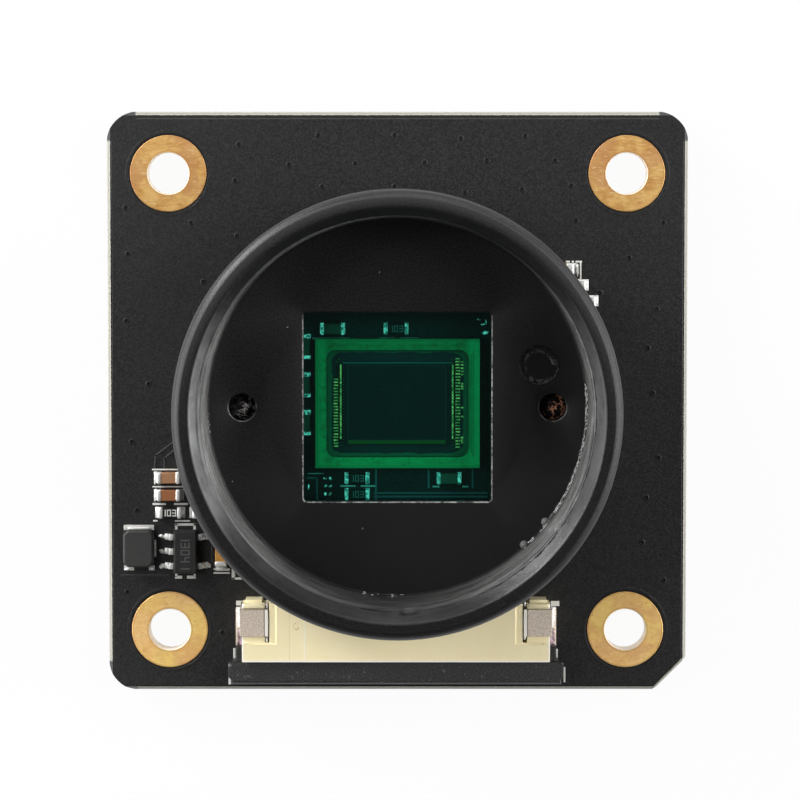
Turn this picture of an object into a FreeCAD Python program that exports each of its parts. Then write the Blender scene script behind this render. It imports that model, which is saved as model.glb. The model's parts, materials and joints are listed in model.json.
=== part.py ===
import FreeCAD, Part
import math
import os

# A bare camera module: a black board with a moulded lens mount over its image sensor.
# All sizes are in millimetres. The origin is the centre of the four mounting holes on the
# back face of the board, +Z points out of the lens mount and +Y away from the flat cable.

# How far a cutting shape runs past what it cuts, and how far joined shapes run into each other.
cut_spare = 1.0
join_overlap = 0.1

# Circuit board, cut out of its panel along V grooves, with routed corners.
board_side = 38.05
board_thickness = 1.6
corner_radius = 2.2
corner_overcut = 0.05
clipped_corner = 2.2
groove_land = 0.24
groove_depth = 0.5
groove_spare = 0.2

# Plated mounting holes.
hole_spacing = 30.0
hole_radius = 1.35
plating_wall = 0.08
pad_radius = 2.5
pad_thickness = 0.05

# Lens mount ring, bored for a one inch, 32 threads per inch lens.
flange_distance = 12.526
thread_minor_radius = 12.28
lead_in_width = 0.74
lead_in_depth = 0.8
rim_land = 0.6
ring_edge = 0.46
mount_floor_top = 6.5
mount_floor_thickness = 1.6

# Window in the mount's floor and the pocket for the filter under it.
window_width = 12.1
window_height = 12.2
window_corner = 0.4
filter_overlap = 0.55
filter_thickness = 0.7
filter_clearance = 0.15

# Hollow base of the mount, screwed down from behind the board.
base_radius = 12.3
base_flat = 11.0
base_wall = 2.6
base_corner_wall = 0.8
boss_spacing = 20.0
boss_wall = 1.325
pilot_radius = 0.875

# Self-tapping screws.
screw_length = 5.8
screw_tip = 0.6
screw_seat_gap = 0.015
screw_hole_clearance = 0.275
screw_head_radius = 1.75
screw_head_flat = 0.96
screw_head_height = 1.2
screw_head_side = 0.54
recess_length = 1.8
recess_width = 0.42
recess_depth = 0.7

# Image sensor in its ceramic package.
sensor_standoff = 0.05
die_width = 7.2
die_height = 5.35
die_thickness = 0.42
die_side_gap = 0.43
die_end_gap = 0.835
ledge_width = 0.62
ledge_drop = 0.12
package_base = 0.5
package_wall = 0.72
package_wall_height = 1.3
package_corner = 0.6
cover_glass_margin = 0.35
cover_glass_thickness = 0.5

# Bond wires, in a row down the left and the right side of the die.
wire_pitch = 0.2
wire_size = 0.05
wire_inset = 0.12
wire_rise = 0.16
left_wire_count = 23
left_wire_drop = 0.55
right_wire_count = 30
right_wire_drop = 0.05

# Contacts of the flat cable connector.
connector_x = -0.1
contact_count = 15
contact_pitch = 1.0
contact_width = 0.32
contact_thickness = 0.2
contact_slot_gap = 0.02
contact_tail = 0.85
contact_lift = 0.05
contact_bend = 0.6
contact_tip = 0.9
contact_nose = 0.25
contact_hook = 0.3

# Housing of the connector, which stands in front of the mount's base.
tail_gap = 1.18
housing_depth = 3.81
housing_height = 2.6
housing_standoff = 0.05
housing_roof = 0.55
housing_floor = 0.6
cavity_end_room = 1.0
cavity_end_wall = 2.05
cavity_depth = 2.95
contact_slot_reach = 0.5
end_block_width = 1.5
slit_width = 0.29
slit_depth = 1.3
groove_width = 0.44
groove_line = 0.09
groove_line_inset = 0.4
top_step = 0.1
notch_margin = 0.4
ear_gap = 0.06
ear_drop = 0.05
ear_chamfer = 0.2
lip_reach = 0.21
lip_drop = 0.7

# Hold-down clips of the connector.
clip_thickness = 0.15
clip_drop = 0.05
clip_front = 1.67
clip_rear = 0.33
clip_slit_gap = 0.08
clip_slit_floor = 0.1
foot_reach = 0.35
foot_front = 0.76
foot_rear = 0.5

# Sliding lock of the connector.
lock_gap = 0.06
lock_end = 0.9
lock_depth = 1.25
lock_lift = 0.1
lock_height = 2.05
lock_corner = 0.25
lock_arm_gap = 0.05
lock_arm_thickness = 0.4
lock_arm_length = 0.95
lock_arm_lift = 0.2
lock_arm_height = 1.3
cable_side_gap = 0.25
cable_height = 0.6
tongue_side_gap = 0.4
tongue_thickness = 0.6
tongue_reach = 2.35
tongue_roof_gap = 0.06

# Chip parts.
chip_length = 1.56
chip_width = 0.76
chip_terminal = 0.34
chip_edge = 0.05
chip_step = 0.03
capacitor_height = 0.78
resistor_height = 0.45
upper_row_gap = 0.24
lower_row_gap = 0.37
row_pitch = 1.05
left_column_gap = 0.32
base_gap = 0.72
base_row_top = 8.76

# Power inductor beside the regulator.
inductor_x = -17.0
inductor_y = -9.58
inductor_width = 2.0
inductor_length = 2.44
inductor_height = 1.0
inductor_corner = 0.3
inductor_top_edge = 0.1
strip_thickness = 0.12
strip_foot = 0.28
strip_height = 0.35

# Voltage regulator, five leads.
regulator_x = -13.92
regulator_y = -9.8
regulator_width = 1.6
regulator_length = 2.9
regulator_height = 1.1
regulator_lift = 0.08
regulator_draft = 0.12
lead_span = 2.8
lead_pitch = 0.95
lead_width = 0.4
lead_thickness = 0.14
lead_foot = 0.32

# Heights that follow from the sizes above.
board_top = board_thickness
package_bottom = board_top + sensor_standoff
package_floor = package_bottom + package_base
package_top = package_bottom + package_wall_height
die_top = package_floor + die_thickness
ledge_top = die_top - ledge_drop
rim_top = die_top + flange_distance
floor_bottom = mount_floor_top - mount_floor_thickness
pocket_top = floor_bottom + filter_thickness
housing_bottom = board_top + housing_standoff
housing_top = board_top + housing_height
cavity_top = housing_top - housing_roof
cavity_bottom = housing_bottom + housing_floor
clip_seat = housing_top - clip_thickness - clip_drop
beam_low = cavity_bottom + contact_lift
beam_top = beam_low + contact_thickness

# Widths and places that follow from them.
lead_in_radius = thread_minor_radius + lead_in_width
ring_radius = lead_in_radius + rim_land + ring_edge
filter_width = window_width + 2 * filter_overlap
filter_height = window_height + 2 * filter_overlap
screw_hole_radius = pilot_radius + screw_hole_clearance
inner_width = die_width + 2 * (die_side_gap + ledge_width)
inner_height = die_height + 2 * die_end_gap
package_width = inner_width + 2 * package_wall
package_height = inner_height + 2 * package_wall
cavity_half = (contact_count - 1) / 2 * contact_pitch + cavity_end_room
housing_half = cavity_half + cavity_end_wall
housing_rear = -base_flat - tail_gap - contact_tail
housing_front = housing_rear - housing_depth
cavity_back = housing_front + cavity_depth
end_block_inner = housing_half - end_block_width
slit_inner = end_block_inner - slit_width
groove_inner = slit_inner - groove_width
clip_y_front = housing_front + clip_front
clip_y_rear = housing_rear - clip_rear
notch_front = clip_y_front - notch_margin

# Chip parts, each with its centre and the direction that it lies in.
upper_row = package_height / 2 + upper_row_gap + chip_width / 2
lower_row = -package_height / 2 - lower_row_gap - chip_width / 2
left_column = -package_width / 2 - left_column_gap - chip_width / 2


def beside_base(row):
    # Centre of a chip part whose inner corner keeps its gap to the round base of the mount.
    y = base_row_top - row * row_pitch
    corner_y = y - chip_width / 2
    corner_x = math.sqrt((base_radius + base_gap) ** 2 - corner_y ** 2)
    return (corner_x + chip_length / 2, y, "x")


capacitors = [
    (-15.02, -4.94, "x"),
    (-15.02, -6.09, "x"),
    (-11.62, -9.95, "y"),
    beside_base(0),
    beside_base(1),
    beside_base(2),
    (-4.26, upper_row, "x"),
    (3.39, lower_row, "x"),
    (left_column, 3.67, "y"),
    (left_column, 1.16, "y"),
    (left_column, -1.33, "y"),
]
resistors = [
    (-14.95, -7.26, "x"),
    (-12.70, -7.26, "x"),
    (-0.09, upper_row, "x"),
    (-2.66, lower_row, "x"),
    (-2.66, lower_row - row_pitch, "x"),
]


def box(x0, x1, y0, y1, z0, z1):
    return Part.makeBox(x1 - x0, y1 - y0, z1 - z0, FreeCAD.Vector(x0, y0, z0))


def centred_box(width, height, z0, z1):
    return box(-width / 2, width / 2, -height / 2, height / 2, z0, z1)


def cylinder(x, y, z0, z1, radius):
    return Part.makeCylinder(radius, z1 - z0, FreeCAD.Vector(x, y, z0))


def prism(points, push):
    # Closed outline through the points, pushed along a vector.
    corners = [FreeCAD.Vector(*point) for point in points]
    outline = Part.makePolygon(corners + corners[:1])
    return Part.Face(outline).extrude(FreeCAD.Vector(*push))


def prism_along_x(points, x0, x1):
    return prism([(x0, y, z) for y, z in points], (x1 - x0, 0, 0))


def prism_along_y(points, y0, y1):
    return prism([(x, y0, z) for x, z in points], (0, y1 - y0, 0))


def prism_along_z(points, z0, z1):
    return prism([(x, y, z0) for x, y in points], (0, 0, z1 - z0))


def turned(profile):
    # Closed profile of radius and height, revolved about the lens axis.
    corners = [FreeCAD.Vector(r, 0, z) for r, z in profile]
    face = Part.Face(Part.makePolygon(corners + corners[:1]))
    return face.revolve(FreeCAD.Vector(0, 0, 0), FreeCAD.Vector(0, 0, 1), 360)


def rounded_block(width, height, radius, z0, z1):
    # Block centred on the lens axis with round upright corners.
    block = centred_box(width, height, z0, z1)
    upright = [edge for edge in block.Edges if abs(edge.BoundBox.ZLength - (z1 - z0)) < 1e-6]
    return block.makeFillet(radius, upright)


def joined(shapes):
    return shapes[0].multiFuse(shapes[1:]).removeSplitter()


def mirrored_x(shape, plane_x):
    return shape.mirror(FreeCAD.Vector(plane_x, 0, 0), FreeCAD.Vector(1, 0, 0))


def moved(shape, x, y):
    placed = shape.copy()
    placed.translate(FreeCAD.Vector(x, y, 0))
    return placed


def corners_of_square(spacing):
    half = spacing / 2
    return [(sx * half, sy * half) for sx in (-1, 1) for sy in (-1, 1)]


def boss_places():
    return [(-boss_spacing / 2, 0.0), (boss_spacing / 2, 0.0)]


def edge_grooves():
    # Wedges that the V grooves leave along the four straight edges, above and below.
    half = board_side / 2
    run = groove_land * (1 + groove_spare / groove_depth)
    top_wedge = [
        (half - groove_land, board_top),
        (half - groove_land + run, board_top - groove_depth - groove_spare),
        (half + groove_spare + run, board_top - groove_depth - groove_spare),
        (half + groove_spare + run, board_top + groove_spare),
        (half - groove_land, board_top + groove_spare),
    ]
    bottom_wedge = [(x, board_thickness - z) for x, z in top_wedge]
    wedges = []
    for outline in (top_wedge, bottom_wedge):
        wedge = prism_along_y(outline, -half - cut_spare, half + cut_spare)
        for turn in range(4):
            side = wedge.copy()
            side.rotate(FreeCAD.Vector(0, 0, 0), FreeCAD.Vector(0, 0, 1), 90 * turn)
            wedges.append(side)
    return wedges


def circuit_board():
    half = board_side / 2
    low = -cut_spare
    high = board_top + cut_spare
    square = centred_box(board_side, board_side, 0, board_top)
    side = board_side + 2 * corner_overcut
    board = square.common(rounded_block(side, side, corner_radius, 0, board_top))
    inner = half - clipped_corner - cut_spare
    outer = half + cut_spare
    clip = prism_along_z([(outer, -inner), (outer, -outer), (inner, -outer)], low, high)
    cuts = edge_grooves() + [clip]
    for x, y in corners_of_square(hole_spacing):
        cuts.append(cylinder(x, y, low, high, hole_radius + plating_wall))
    for x, y in boss_places():
        cuts.append(cylinder(x, y, low, high, screw_hole_radius))
    return [board.cut(cuts)]


def mounting_rings():
    # Plated holes: a barrel through the board with a round pad on each face.
    barrel_radius = hole_radius + plating_wall
    low = -pad_thickness
    high = board_top + pad_thickness
    profile = [
        (hole_radius, low),
        (pad_radius, low),
        (pad_radius, 0),
        (barrel_radius, 0),
        (barrel_radius, board_top),
        (pad_radius, board_top),
        (pad_radius, high),
        (hole_radius, high),
    ]
    ring = turned(profile)
    return [moved(ring, x, y) for x, y in corners_of_square(hole_spacing)]


def mount_ring():
    # The ring and its floor, turned from one profile of radius and height.
    profile = [
        (0, floor_bottom),
        (ring_radius, floor_bottom),
        (ring_radius, rim_top - ring_edge),
        (ring_radius - ring_edge, rim_top),
        (lead_in_radius, rim_top),
        (thread_minor_radius, rim_top - lead_in_depth),
        (thread_minor_radius, mount_floor_top),
        (0, mount_floor_top),
    ]
    return turned(profile)


def flattened_disc(radius, flat, z0, z1):
    # Round disc with a flat on its upper and lower side, as seen from the front.
    return cylinder(0, 0, z0, z1, radius).common(box(-radius, radius, -flat, flat, z0, z1))


def mount_base():
    # Round base with two flats, hollow over the sensor and solid round the two screws.
    outer = flattened_disc(base_radius, base_flat, board_top, floor_bottom)
    room = flattened_disc(base_radius - base_corner_wall, base_flat - base_wall, board_top, floor_bottom)
    between = boss_spacing - 2 * (pilot_radius + boss_wall)
    return outer.cut(room.common(centred_box(between, 2 * base_flat, board_top, floor_bottom)))


def lens_mount():
    pocket_width = filter_width + 2 * filter_clearance
    pocket_height = filter_height + 2 * filter_clearance
    above = mount_floor_top + cut_spare
    cuts = [
        rounded_block(window_width, window_height, window_corner, floor_bottom - cut_spare, above),
        centred_box(pocket_width, pocket_height, board_top, pocket_top),
    ]
    for x, y in boss_places():
        cuts.append(cylinder(x, y, board_top - cut_spare, above, pilot_radius))
    return [joined([mount_ring(), mount_base()]).cut(cuts)]


def mount_screws():
    # Pan head screws with a cross recess, driven from behind the board.
    shank = pilot_radius - screw_seat_gap
    profile = [
        (0, -screw_head_height),
        (screw_head_flat, -screw_head_height),
        (screw_head_radius, -screw_head_side),
        (screw_head_radius, 0),
        (shank, 0),
        (shank, screw_length - screw_tip),
        (0, screw_length),
    ]
    low = -screw_head_height - cut_spare
    high = -screw_head_height + recess_depth
    arm = centred_box(recess_length, recess_width, low, high)
    cross = centred_box(recess_width, recess_length, low, high)
    screw = turned(profile).cut([arm, cross])
    return [moved(screw, x, y) for x, y in boss_places()]


def infrared_filter():
    return [centred_box(filter_width, filter_height, floor_bottom, pocket_top)]


def sensor_package():
    # Ceramic tray with a bonding ledge on its left and right side.
    tray = centred_box(package_width, package_height, package_bottom, package_top)
    hollow = rounded_block(inner_width, inner_height, package_corner, package_floor, package_top + cut_spare)
    outer = inner_width / 2
    inner = outer - ledge_width
    ledge = box(inner, outer, -inner_height, inner_height, package_floor - cut_spare, ledge_top)
    return [tray.cut(hollow.cut([ledge, mirrored_x(ledge, 0)]))]


def sensor_die():
    return [centred_box(die_width, die_height, package_floor, die_top)]


def sensor_cover_glass():
    width = package_width - 2 * cover_glass_margin
    height = package_height - 2 * cover_glass_margin
    return [centred_box(width, height, package_top, package_top + cover_glass_thickness)]


def bond_wire(side, y):
    # Looped wire from the top of the die down to the ledge, as a thin bent bar.
    start = die_width / 2 - wire_inset
    finish = inner_width / 2 - ledge_width / 2
    crown = die_top + wire_rise
    outline = [
        (start, die_top),
        (start + wire_inset, crown),
        (finish + wire_size, ledge_top),
        (finish, ledge_top),
        (start + wire_inset, crown - wire_size),
        (start + wire_size, die_top),
    ]
    wire = prism_along_y(outline, y - wire_size / 2, y + wire_size / 2)
    if side < 0:
        wire = mirrored_x(wire, 0)
    return wire


def wire_row(side, count, drop):
    # Evenly spaced wires down one side, whose middle lies below the lens axis.
    first = -(count - 1) / 2 * wire_pitch - drop
    return [bond_wire(side, first + index * wire_pitch) for index in range(count)]


def bond_wires():
    left = wire_row(-1, left_wire_count, left_wire_drop)
    right = wire_row(1, right_wire_count, right_wire_drop)
    return left + right


def chip(x, y, direction, height):
    # Ceramic chip part with a metal cap on each end, chamfered round its end face.
    half = chip_length / 2
    core = centred_box(
        chip_length - 2 * chip_edge, chip_width - 2 * chip_step, board_top, board_top + height - chip_step
    )
    side = chip_width / 2
    cap = box(-half, -half + chip_terminal, -side, side, board_top, board_top + height)
    end_edges = [edge for edge in cap.Edges if edge.BoundBox.XMax < -half + chip_edge]
    cap = cap.makeChamfer(chip_edge, end_edges)
    shape = joined([core, cap, mirrored_x(cap, 0)])
    if direction == "y":
        shape.rotate(FreeCAD.Vector(0, 0, 0), FreeCAD.Vector(0, 0, 1), 90)
    return [moved(shape, x, y)]


def inductor_core():
    half = inductor_width / 2
    reach = inductor_length / 2
    corner = inductor_corner
    outline = [
        (-half, -reach + corner),
        (-half + corner, -reach),
        (half - corner, -reach),
        (half, -reach + corner),
        (half, reach - corner),
        (half - corner, reach),
        (-half + corner, reach),
        (-half, reach - corner),
    ]
    top = board_top + inductor_height
    body = prism_along_z(outline, board_top + strip_thickness, top)
    rim = [edge for edge in body.Edges if edge.BoundBox.ZMin > top - inductor_top_edge]
    return [moved(body.makeChamfer(inductor_top_edge, rim), inductor_x, inductor_y)]


def inductor_terminals():
    # Bent metal strips under each end of the core, with the solder pad they stand on.
    half = inductor_width / 2
    reach = inductor_length / 2
    bend = half - inductor_corner
    foot = box(
        -half, half, reach - 2 * strip_foot, reach + strip_foot, board_top, board_top + strip_thickness
    )
    upright = box(-bend, bend, reach, reach + strip_thickness, board_top, board_top + strip_height)
    strip = joined([foot, upright])
    twin = strip.mirror(FreeCAD.Vector(0, 0, 0), FreeCAD.Vector(0, 1, 0))
    return [moved(shape, inductor_x, inductor_y) for shape in (strip, twin)]


def drafted(centre, extent):
    # Upright section of the moulded body, widest where its two mould halves meet.
    low = board_top + regulator_lift
    middle = board_top + regulator_height / 2
    top = board_top + regulator_height
    return [
        (centre - extent + regulator_draft, low),
        (centre + extent - regulator_draft, low),
        (centre + extent, middle),
        (centre + extent - regulator_draft, top),
        (centre - extent + regulator_draft, top),
        (centre - extent, middle),
    ]


def regulator_body():
    half = regulator_width / 2
    reach = regulator_length / 2
    across = prism_along_y(drafted(regulator_x, half), regulator_y - reach, regulator_y + reach)
    along = prism_along_x(drafted(regulator_y, reach), regulator_x - half, regulator_x + half)
    return [across.common(along)]


def regulator_lead(sign, y):
    # Gull wing lead from the middle of the body down to the board.
    body_face = regulator_width / 2
    tip = lead_span / 2
    middle = board_top + regulator_height / 2
    bend = tip - lead_foot
    outline = [
        (body_face, middle - lead_thickness / 2),
        (body_face, middle + lead_thickness / 2),
        (bend, middle + lead_thickness / 2),
        (bend + lead_thickness, board_top + lead_thickness),
        (tip, board_top + lead_thickness),
        (tip, board_top),
        (bend, board_top),
        (bend - lead_thickness, middle - lead_thickness / 2),
    ]
    placed = [(regulator_x + sign * x, z) for x, z in outline]
    return prism_along_y(placed, y - lead_width / 2, y + lead_width / 2)


def regulator_leads():
    leads = [regulator_lead(-1, regulator_y + step * lead_pitch) for step in (-1, 0, 1)]
    leads += [regulator_lead(1, regulator_y + step * lead_pitch) for step in (-1, 1)]
    return leads


def housing_end():
    # What is cut away at the right-hand end for the clip, its slit and the stepped groove.
    outer = housing_half + cut_spare
    rear = housing_rear + cut_spare
    above = housing_top + cut_spare
    step = housing_top - top_step
    line_end = housing_half - groove_line_inset
    cuts = [
        box(end_block_inner, outer, notch_front, rear, clip_seat, above),
        box(slit_inner, end_block_inner, notch_front, rear, housing_top - slit_depth, above),
        box(groove_inner, slit_inner, notch_front, rear, step, above),
        box(groove_inner, line_end, notch_front - groove_line, notch_front, step, above),
    ]
    return joined(cuts)


def housing_ear():
    # Raised lug behind the clip with chamfered upright corners and a low lip behind it.
    start = clip_y_rear + ear_gap
    inner = end_block_inner + ear_chamfer
    outer = housing_half - ear_chamfer
    outline = [
        (end_block_inner, start),
        (housing_half, start),
        (housing_half, housing_rear - ear_chamfer),
        (outer, housing_rear),
        (inner, housing_rear),
        (end_block_inner, housing_rear - ear_chamfer),
    ]
    lug = prism_along_z(outline, housing_bottom, housing_top - ear_drop)
    lip = box(
        inner, outer, housing_rear - join_overlap, housing_rear + lip_reach,
        housing_bottom, housing_top - lip_drop,
    )
    return [lug, lip]


def contact_places():
    first = connector_x - (contact_count - 1) / 2 * contact_pitch
    return [first + index * contact_pitch for index in range(contact_count)]


def connector_housing():
    block = box(-housing_half, housing_half, housing_front, housing_rear, housing_bottom, housing_top)
    ends = housing_end()
    block = block.cut([ends, mirrored_x(ends, 0)])
    for part in housing_ear():
        block = block.fuse([part, mirrored_x(part, 0)])
    mouth = housing_front - cut_spare
    cavity = box(-cavity_half, cavity_half, mouth, cavity_back, cavity_bottom, cavity_top)
    housing = moved(block.cut(cavity), connector_x, 0)
    slot = contact_width / 2 + contact_slot_gap
    slots = []
    for x in contact_places():
        slots.append(
            box(x - slot, x + slot, cavity_back - contact_slot_reach, housing_rear + cut_spare, 0, beam_top)
        )
    return [housing.cut(slots).removeSplitter()]


def contact_profile():
    # Side view of one stamped contact: solder tail, riser and the spring beam under the cable.
    tail_end = housing_rear + contact_tail
    tail_top = board_top + contact_thickness
    bend = cavity_back - contact_bend
    tip = housing_front + contact_tip
    tip_top = cavity_bottom + cable_height
    return [
        (tail_end, board_top),
        (tail_end, tail_top),
        (housing_rear + contact_thickness, tail_top),
        (housing_rear, beam_top),
        (bend, beam_top),
        (tip, tip_top),
        (tip - contact_hook, tip_top - contact_hook),
        (tip + contact_nose, tip_top - contact_thickness),
        (bend + contact_lift, beam_low),
        (housing_rear - contact_thickness, beam_low),
        (housing_rear - contact_lift, board_top),
    ]


def connector_contacts():
    half = contact_width / 2
    return [prism_along_x(contact_profile(), x - half, x + half) for x in contact_places()]


def connector_clips():
    # Nickel clips that fold over each end of the housing and are soldered beside it.
    flange_inner = slit_inner + clip_slit_gap
    flange_outer = flange_inner + clip_thickness
    flange_low = housing_top - slit_depth + clip_slit_floor
    leg_outer = housing_half + clip_thickness
    clip_top = clip_seat + clip_thickness
    outline = [
        (flange_inner, flange_low),
        (flange_inner, clip_top),
        (leg_outer, clip_top),
        (leg_outer, board_top),
        (housing_half, board_top),
        (housing_half, clip_seat),
        (flange_outer, clip_seat),
        (flange_outer, flange_low),
    ]
    strap = prism_along_y(outline, clip_y_front, clip_y_rear)
    foot = box(
        housing_half, leg_outer + foot_reach, housing_front + foot_front, housing_rear - foot_rear,
        board_top, board_top + clip_thickness,
    )
    clip = joined([strap, foot])
    return [moved(shape, connector_x, 0) for shape in (clip, mirrored_x(clip, 0))]


def connector_lock():
    # Bar across the mouth with the cable slot, a tongue inside the housing and two side arms.
    lock_half = housing_half + lock_end
    low = board_top + lock_lift
    high = low + lock_height
    rear = housing_front - lock_gap
    front = rear - lock_depth
    tongue_top = cavity_top - tongue_roof_gap
    tongue_low = tongue_top - tongue_thickness
    outline = [
        (-lock_half, rear),
        (-lock_half, front + lock_corner),
        (-lock_half + lock_corner, front),
        (lock_half - lock_corner, front),
        (lock_half, front + lock_corner),
        (lock_half, rear),
    ]
    bar = prism_along_z(outline, low, high)
    tongue_half = cavity_half - tongue_side_gap
    inside = rear - join_overlap
    tongue = box(-tongue_half, tongue_half, inside, rear + tongue_reach, tongue_low, tongue_top)
    arm_inner = housing_half + lock_arm_gap
    arm_low = low + lock_arm_lift
    arm = box(
        arm_inner, arm_inner + lock_arm_thickness, inside, rear + lock_arm_length,
        arm_low, arm_low + lock_arm_height,
    )
    cable_half = cavity_half - cable_side_gap
    slot = box(
        -cable_half, cable_half, front - cut_spare, rear + cut_spare, tongue_low - cable_height, tongue_low
    )
    lock = joined([bar, tongue, arm, mirrored_x(arm, 0)]).cut(slot)
    return [moved(lock, connector_x, 0)]


def write(name, solids):
    if len(solids) == 1:
        shape = solids[0]
    else:
        shape = Part.makeCompound(solids)
    shape.exportStep("parts/" + name + ".step")


def main():
    os.makedirs("parts", exist_ok=True)
    pieces = {
        "circuit_board": circuit_board(),
        "mounting_rings": mounting_rings(),
        "lens_mount": lens_mount(),
        "mount_screws": mount_screws(),
        "infrared_filter": infrared_filter(),
        "sensor_package": sensor_package(),
        "sensor_die": sensor_die(),
        "sensor_cover_glass": sensor_cover_glass(),
        "bond_wires": bond_wires(),
        "inductor_core": inductor_core(),
        "inductor_terminals": inductor_terminals(),
        "regulator_body": regulator_body(),
        "regulator_leads": regulator_leads(),
        "connector_housing": connector_housing(),
        "connector_contacts": connector_contacts(),
        "connector_clips": connector_clips(),
        "connector_lock": connector_lock(),
    }
    for number, (x, y, direction) in enumerate(capacitors, start=1):
        pieces["capacitor_%02d" % number] = chip(x, y, direction, capacitor_height)
    for number, (x, y, direction) in enumerate(resistors, start=1):
        pieces["resistor_%02d" % number] = chip(x, y, direction, resistor_height)
    for name, solids in pieces.items():
        write(name, solids)


main()
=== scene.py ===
import json
import math
import random

import bmesh
import bpy
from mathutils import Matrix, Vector, noise


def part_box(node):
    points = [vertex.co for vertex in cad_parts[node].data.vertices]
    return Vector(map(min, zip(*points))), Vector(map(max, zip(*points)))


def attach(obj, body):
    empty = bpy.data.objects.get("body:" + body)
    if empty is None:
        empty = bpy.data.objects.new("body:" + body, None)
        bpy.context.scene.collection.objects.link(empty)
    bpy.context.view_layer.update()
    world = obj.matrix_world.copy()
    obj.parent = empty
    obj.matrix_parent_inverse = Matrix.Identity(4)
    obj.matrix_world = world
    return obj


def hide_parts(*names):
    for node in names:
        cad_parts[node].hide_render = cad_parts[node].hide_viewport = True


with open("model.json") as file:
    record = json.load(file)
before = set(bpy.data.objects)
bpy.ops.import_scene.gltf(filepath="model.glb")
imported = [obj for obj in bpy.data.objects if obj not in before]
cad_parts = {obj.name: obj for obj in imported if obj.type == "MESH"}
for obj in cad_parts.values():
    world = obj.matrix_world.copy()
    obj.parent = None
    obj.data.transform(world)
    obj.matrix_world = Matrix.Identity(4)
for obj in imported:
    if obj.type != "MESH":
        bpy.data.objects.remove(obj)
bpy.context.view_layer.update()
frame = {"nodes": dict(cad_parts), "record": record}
scene = bpy.context.scene
mm = 0.001  # every size below is in millimetres, measured from the middle of the four mounting holes
boardTop = 1.6
connectorMiddle = -0.1
print("frame loaded with", len(frame["nodes"]), "nodes")


def operator(operation, turned=False):
    # What a Python operator does to a Value; turned swaps its two parts.
    def apply(self, other):
        return self.maths(operation, *((other, self) if turned else (self, other)))

    return apply


class Value:
    # One output of a node, so that sums on it read as plain Python.
    __add__ = __radd__ = operator("ADD")
    __mul__ = __rmul__ = operator("MULTIPLY")
    __sub__ = operator("SUBTRACT")
    __rsub__ = operator("SUBTRACT", turned=True)
    least = operator("MINIMUM")
    most = operator("MAXIMUM")

    def __init__(self, graph, socket):
        self.graph = graph
        self.socket = socket

    def maths(self, operation, *parts):
        return self.graph.node("ShaderNodeMath", {"operation": operation}, *parts)

    def __abs__(self):
        return self.maths("ABSOLUTE", self)

    def __neg__(self):
        return self * -1


class Graph:
    # A node tree with one method that adds any node.

    def node(self, kind, settings=None, *parts, output=0, **sockets):
        made = self.tree.nodes.new(kind)
        for name, value in (settings or {}).items():
            if name == "stops":
                self.setStops(made.color_ramp.elements, value)
            else:
                setattr(made, name, value)
        for index, part in enumerate(parts):
            self.join(made.inputs[index], part)
        for name, part in sockets.items():
            self.join(made.inputs[name.replace("_", " ")], part)
        return Value(self, made.outputs[output]) if made.outputs else made

    def join(self, socket, part):
        if isinstance(part, Value):
            self.tree.links.new(part.socket, socket)
        elif part is not None:
            if socket.type == "RGBA" and len(part) == 3:
                part = (*part, 1)
            socket.default_value = part

    def setStops(self, elements, stops):
        while len(elements) < len(stops):
            elements.new(0.5)
        for element, (position, colour) in zip(elements, stops):
            element.position = position
            element.color = (*colour, 1)


class Finish(Graph):
    # The nodes of one material. Its x, y and z are in millimetres on the piece.

    def __init__(self, name):
        self.material = bpy.data.materials.new(name)
        self.material.use_nodes = True
        self.tree = self.material.node_tree
        self.tree.nodes.clear()
        where = self.node("ShaderNodeTexCoord", output=3)
        self.place = self.node("ShaderNodeVectorMath", {"operation": "SCALE"}, where, Scale=1 / mm)
        self.x, self.y, self.z = (self.node("ShaderNodeSeparateXYZ", None, self.place, output=i) for i in range(3))

    def stretched(self, x, y, z):
        return self.node("ShaderNodeVectorMath", {"operation": "MULTIPLY"}, self.place, (x, y, z))

    def grain(self, scale, detail=2, roughness=0.5, place=None):
        return self.node(
            "ShaderNodeTexNoise", None, Vector=place or self.place, Scale=scale, Detail=detail, Roughness=roughness
        )

    def step(self, value, start, stop):
        # 0 before start, 1 past stop, smooth between.
        return self.node(
            "ShaderNodeMapRange", {"interpolation_type": "SMOOTHSTEP"},
            Value=value, From_Min=start, From_Max=stop,
        )

    def band(self, value, low, high, soft=0.02):
        return self.step(value, low - soft, low + soft) * (1 - self.step(value, high - soft, high + soft))

    def length(self, x, y):
        both = self.node("ShaderNodeCombineXYZ", None, x, y, 0)
        return self.node("ShaderNodeVectorMath", {"operation": "LENGTH"}, both, output=1)

    def mix(self, factor, first, second):
        skipped = [None] * 5  # the sockets for numbers and vectors
        return self.node("ShaderNodeMix", {"data_type": "RGBA"}, factor, *skipped, first, second, output=2)

    def paint(self, factor, colour):
        # Lays a colour over the finish, as far as the factor says.
        self.colour = self.mix(factor, self.colour, colour)

    def show(self, shader):
        self.node("ShaderNodeOutputMaterial", None, shader)
        return self.material

    def surface(self, roughness, height, strength=0.7, **sockets):
        # The plain shader in the finish's colour; its relief has a height in millimetres.
        relief = self.node("ShaderNodeBump", None, Strength=strength, Distance=mm, Height=height)
        return self.show(self.node(
            "ShaderNodeBsdfPrincipled", None, Base_Color=self.colour, Roughness=roughness, Normal=relief, **sockets
        ))


def grey(level):
    return (level, level, level)


def tone(red, green, blue):
    # A colour as it shows on a screen, 0 to 255, as the linear colour that a shader takes.
    shown = [value / 255 for value in (red, green, blue)]
    return tuple(v / 12.92 if v <= 0.04045 else ((v + 0.055) / 1.055) ** 2.4 for v in shown)


def diskPoints(centre, radius, z, count=48):
    angles = [2 * math.pi * i / count for i in range(count)]
    return [(centre[0] + radius * math.cos(a), centre[1] + radius * math.sin(a), z) for a in angles]


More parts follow.
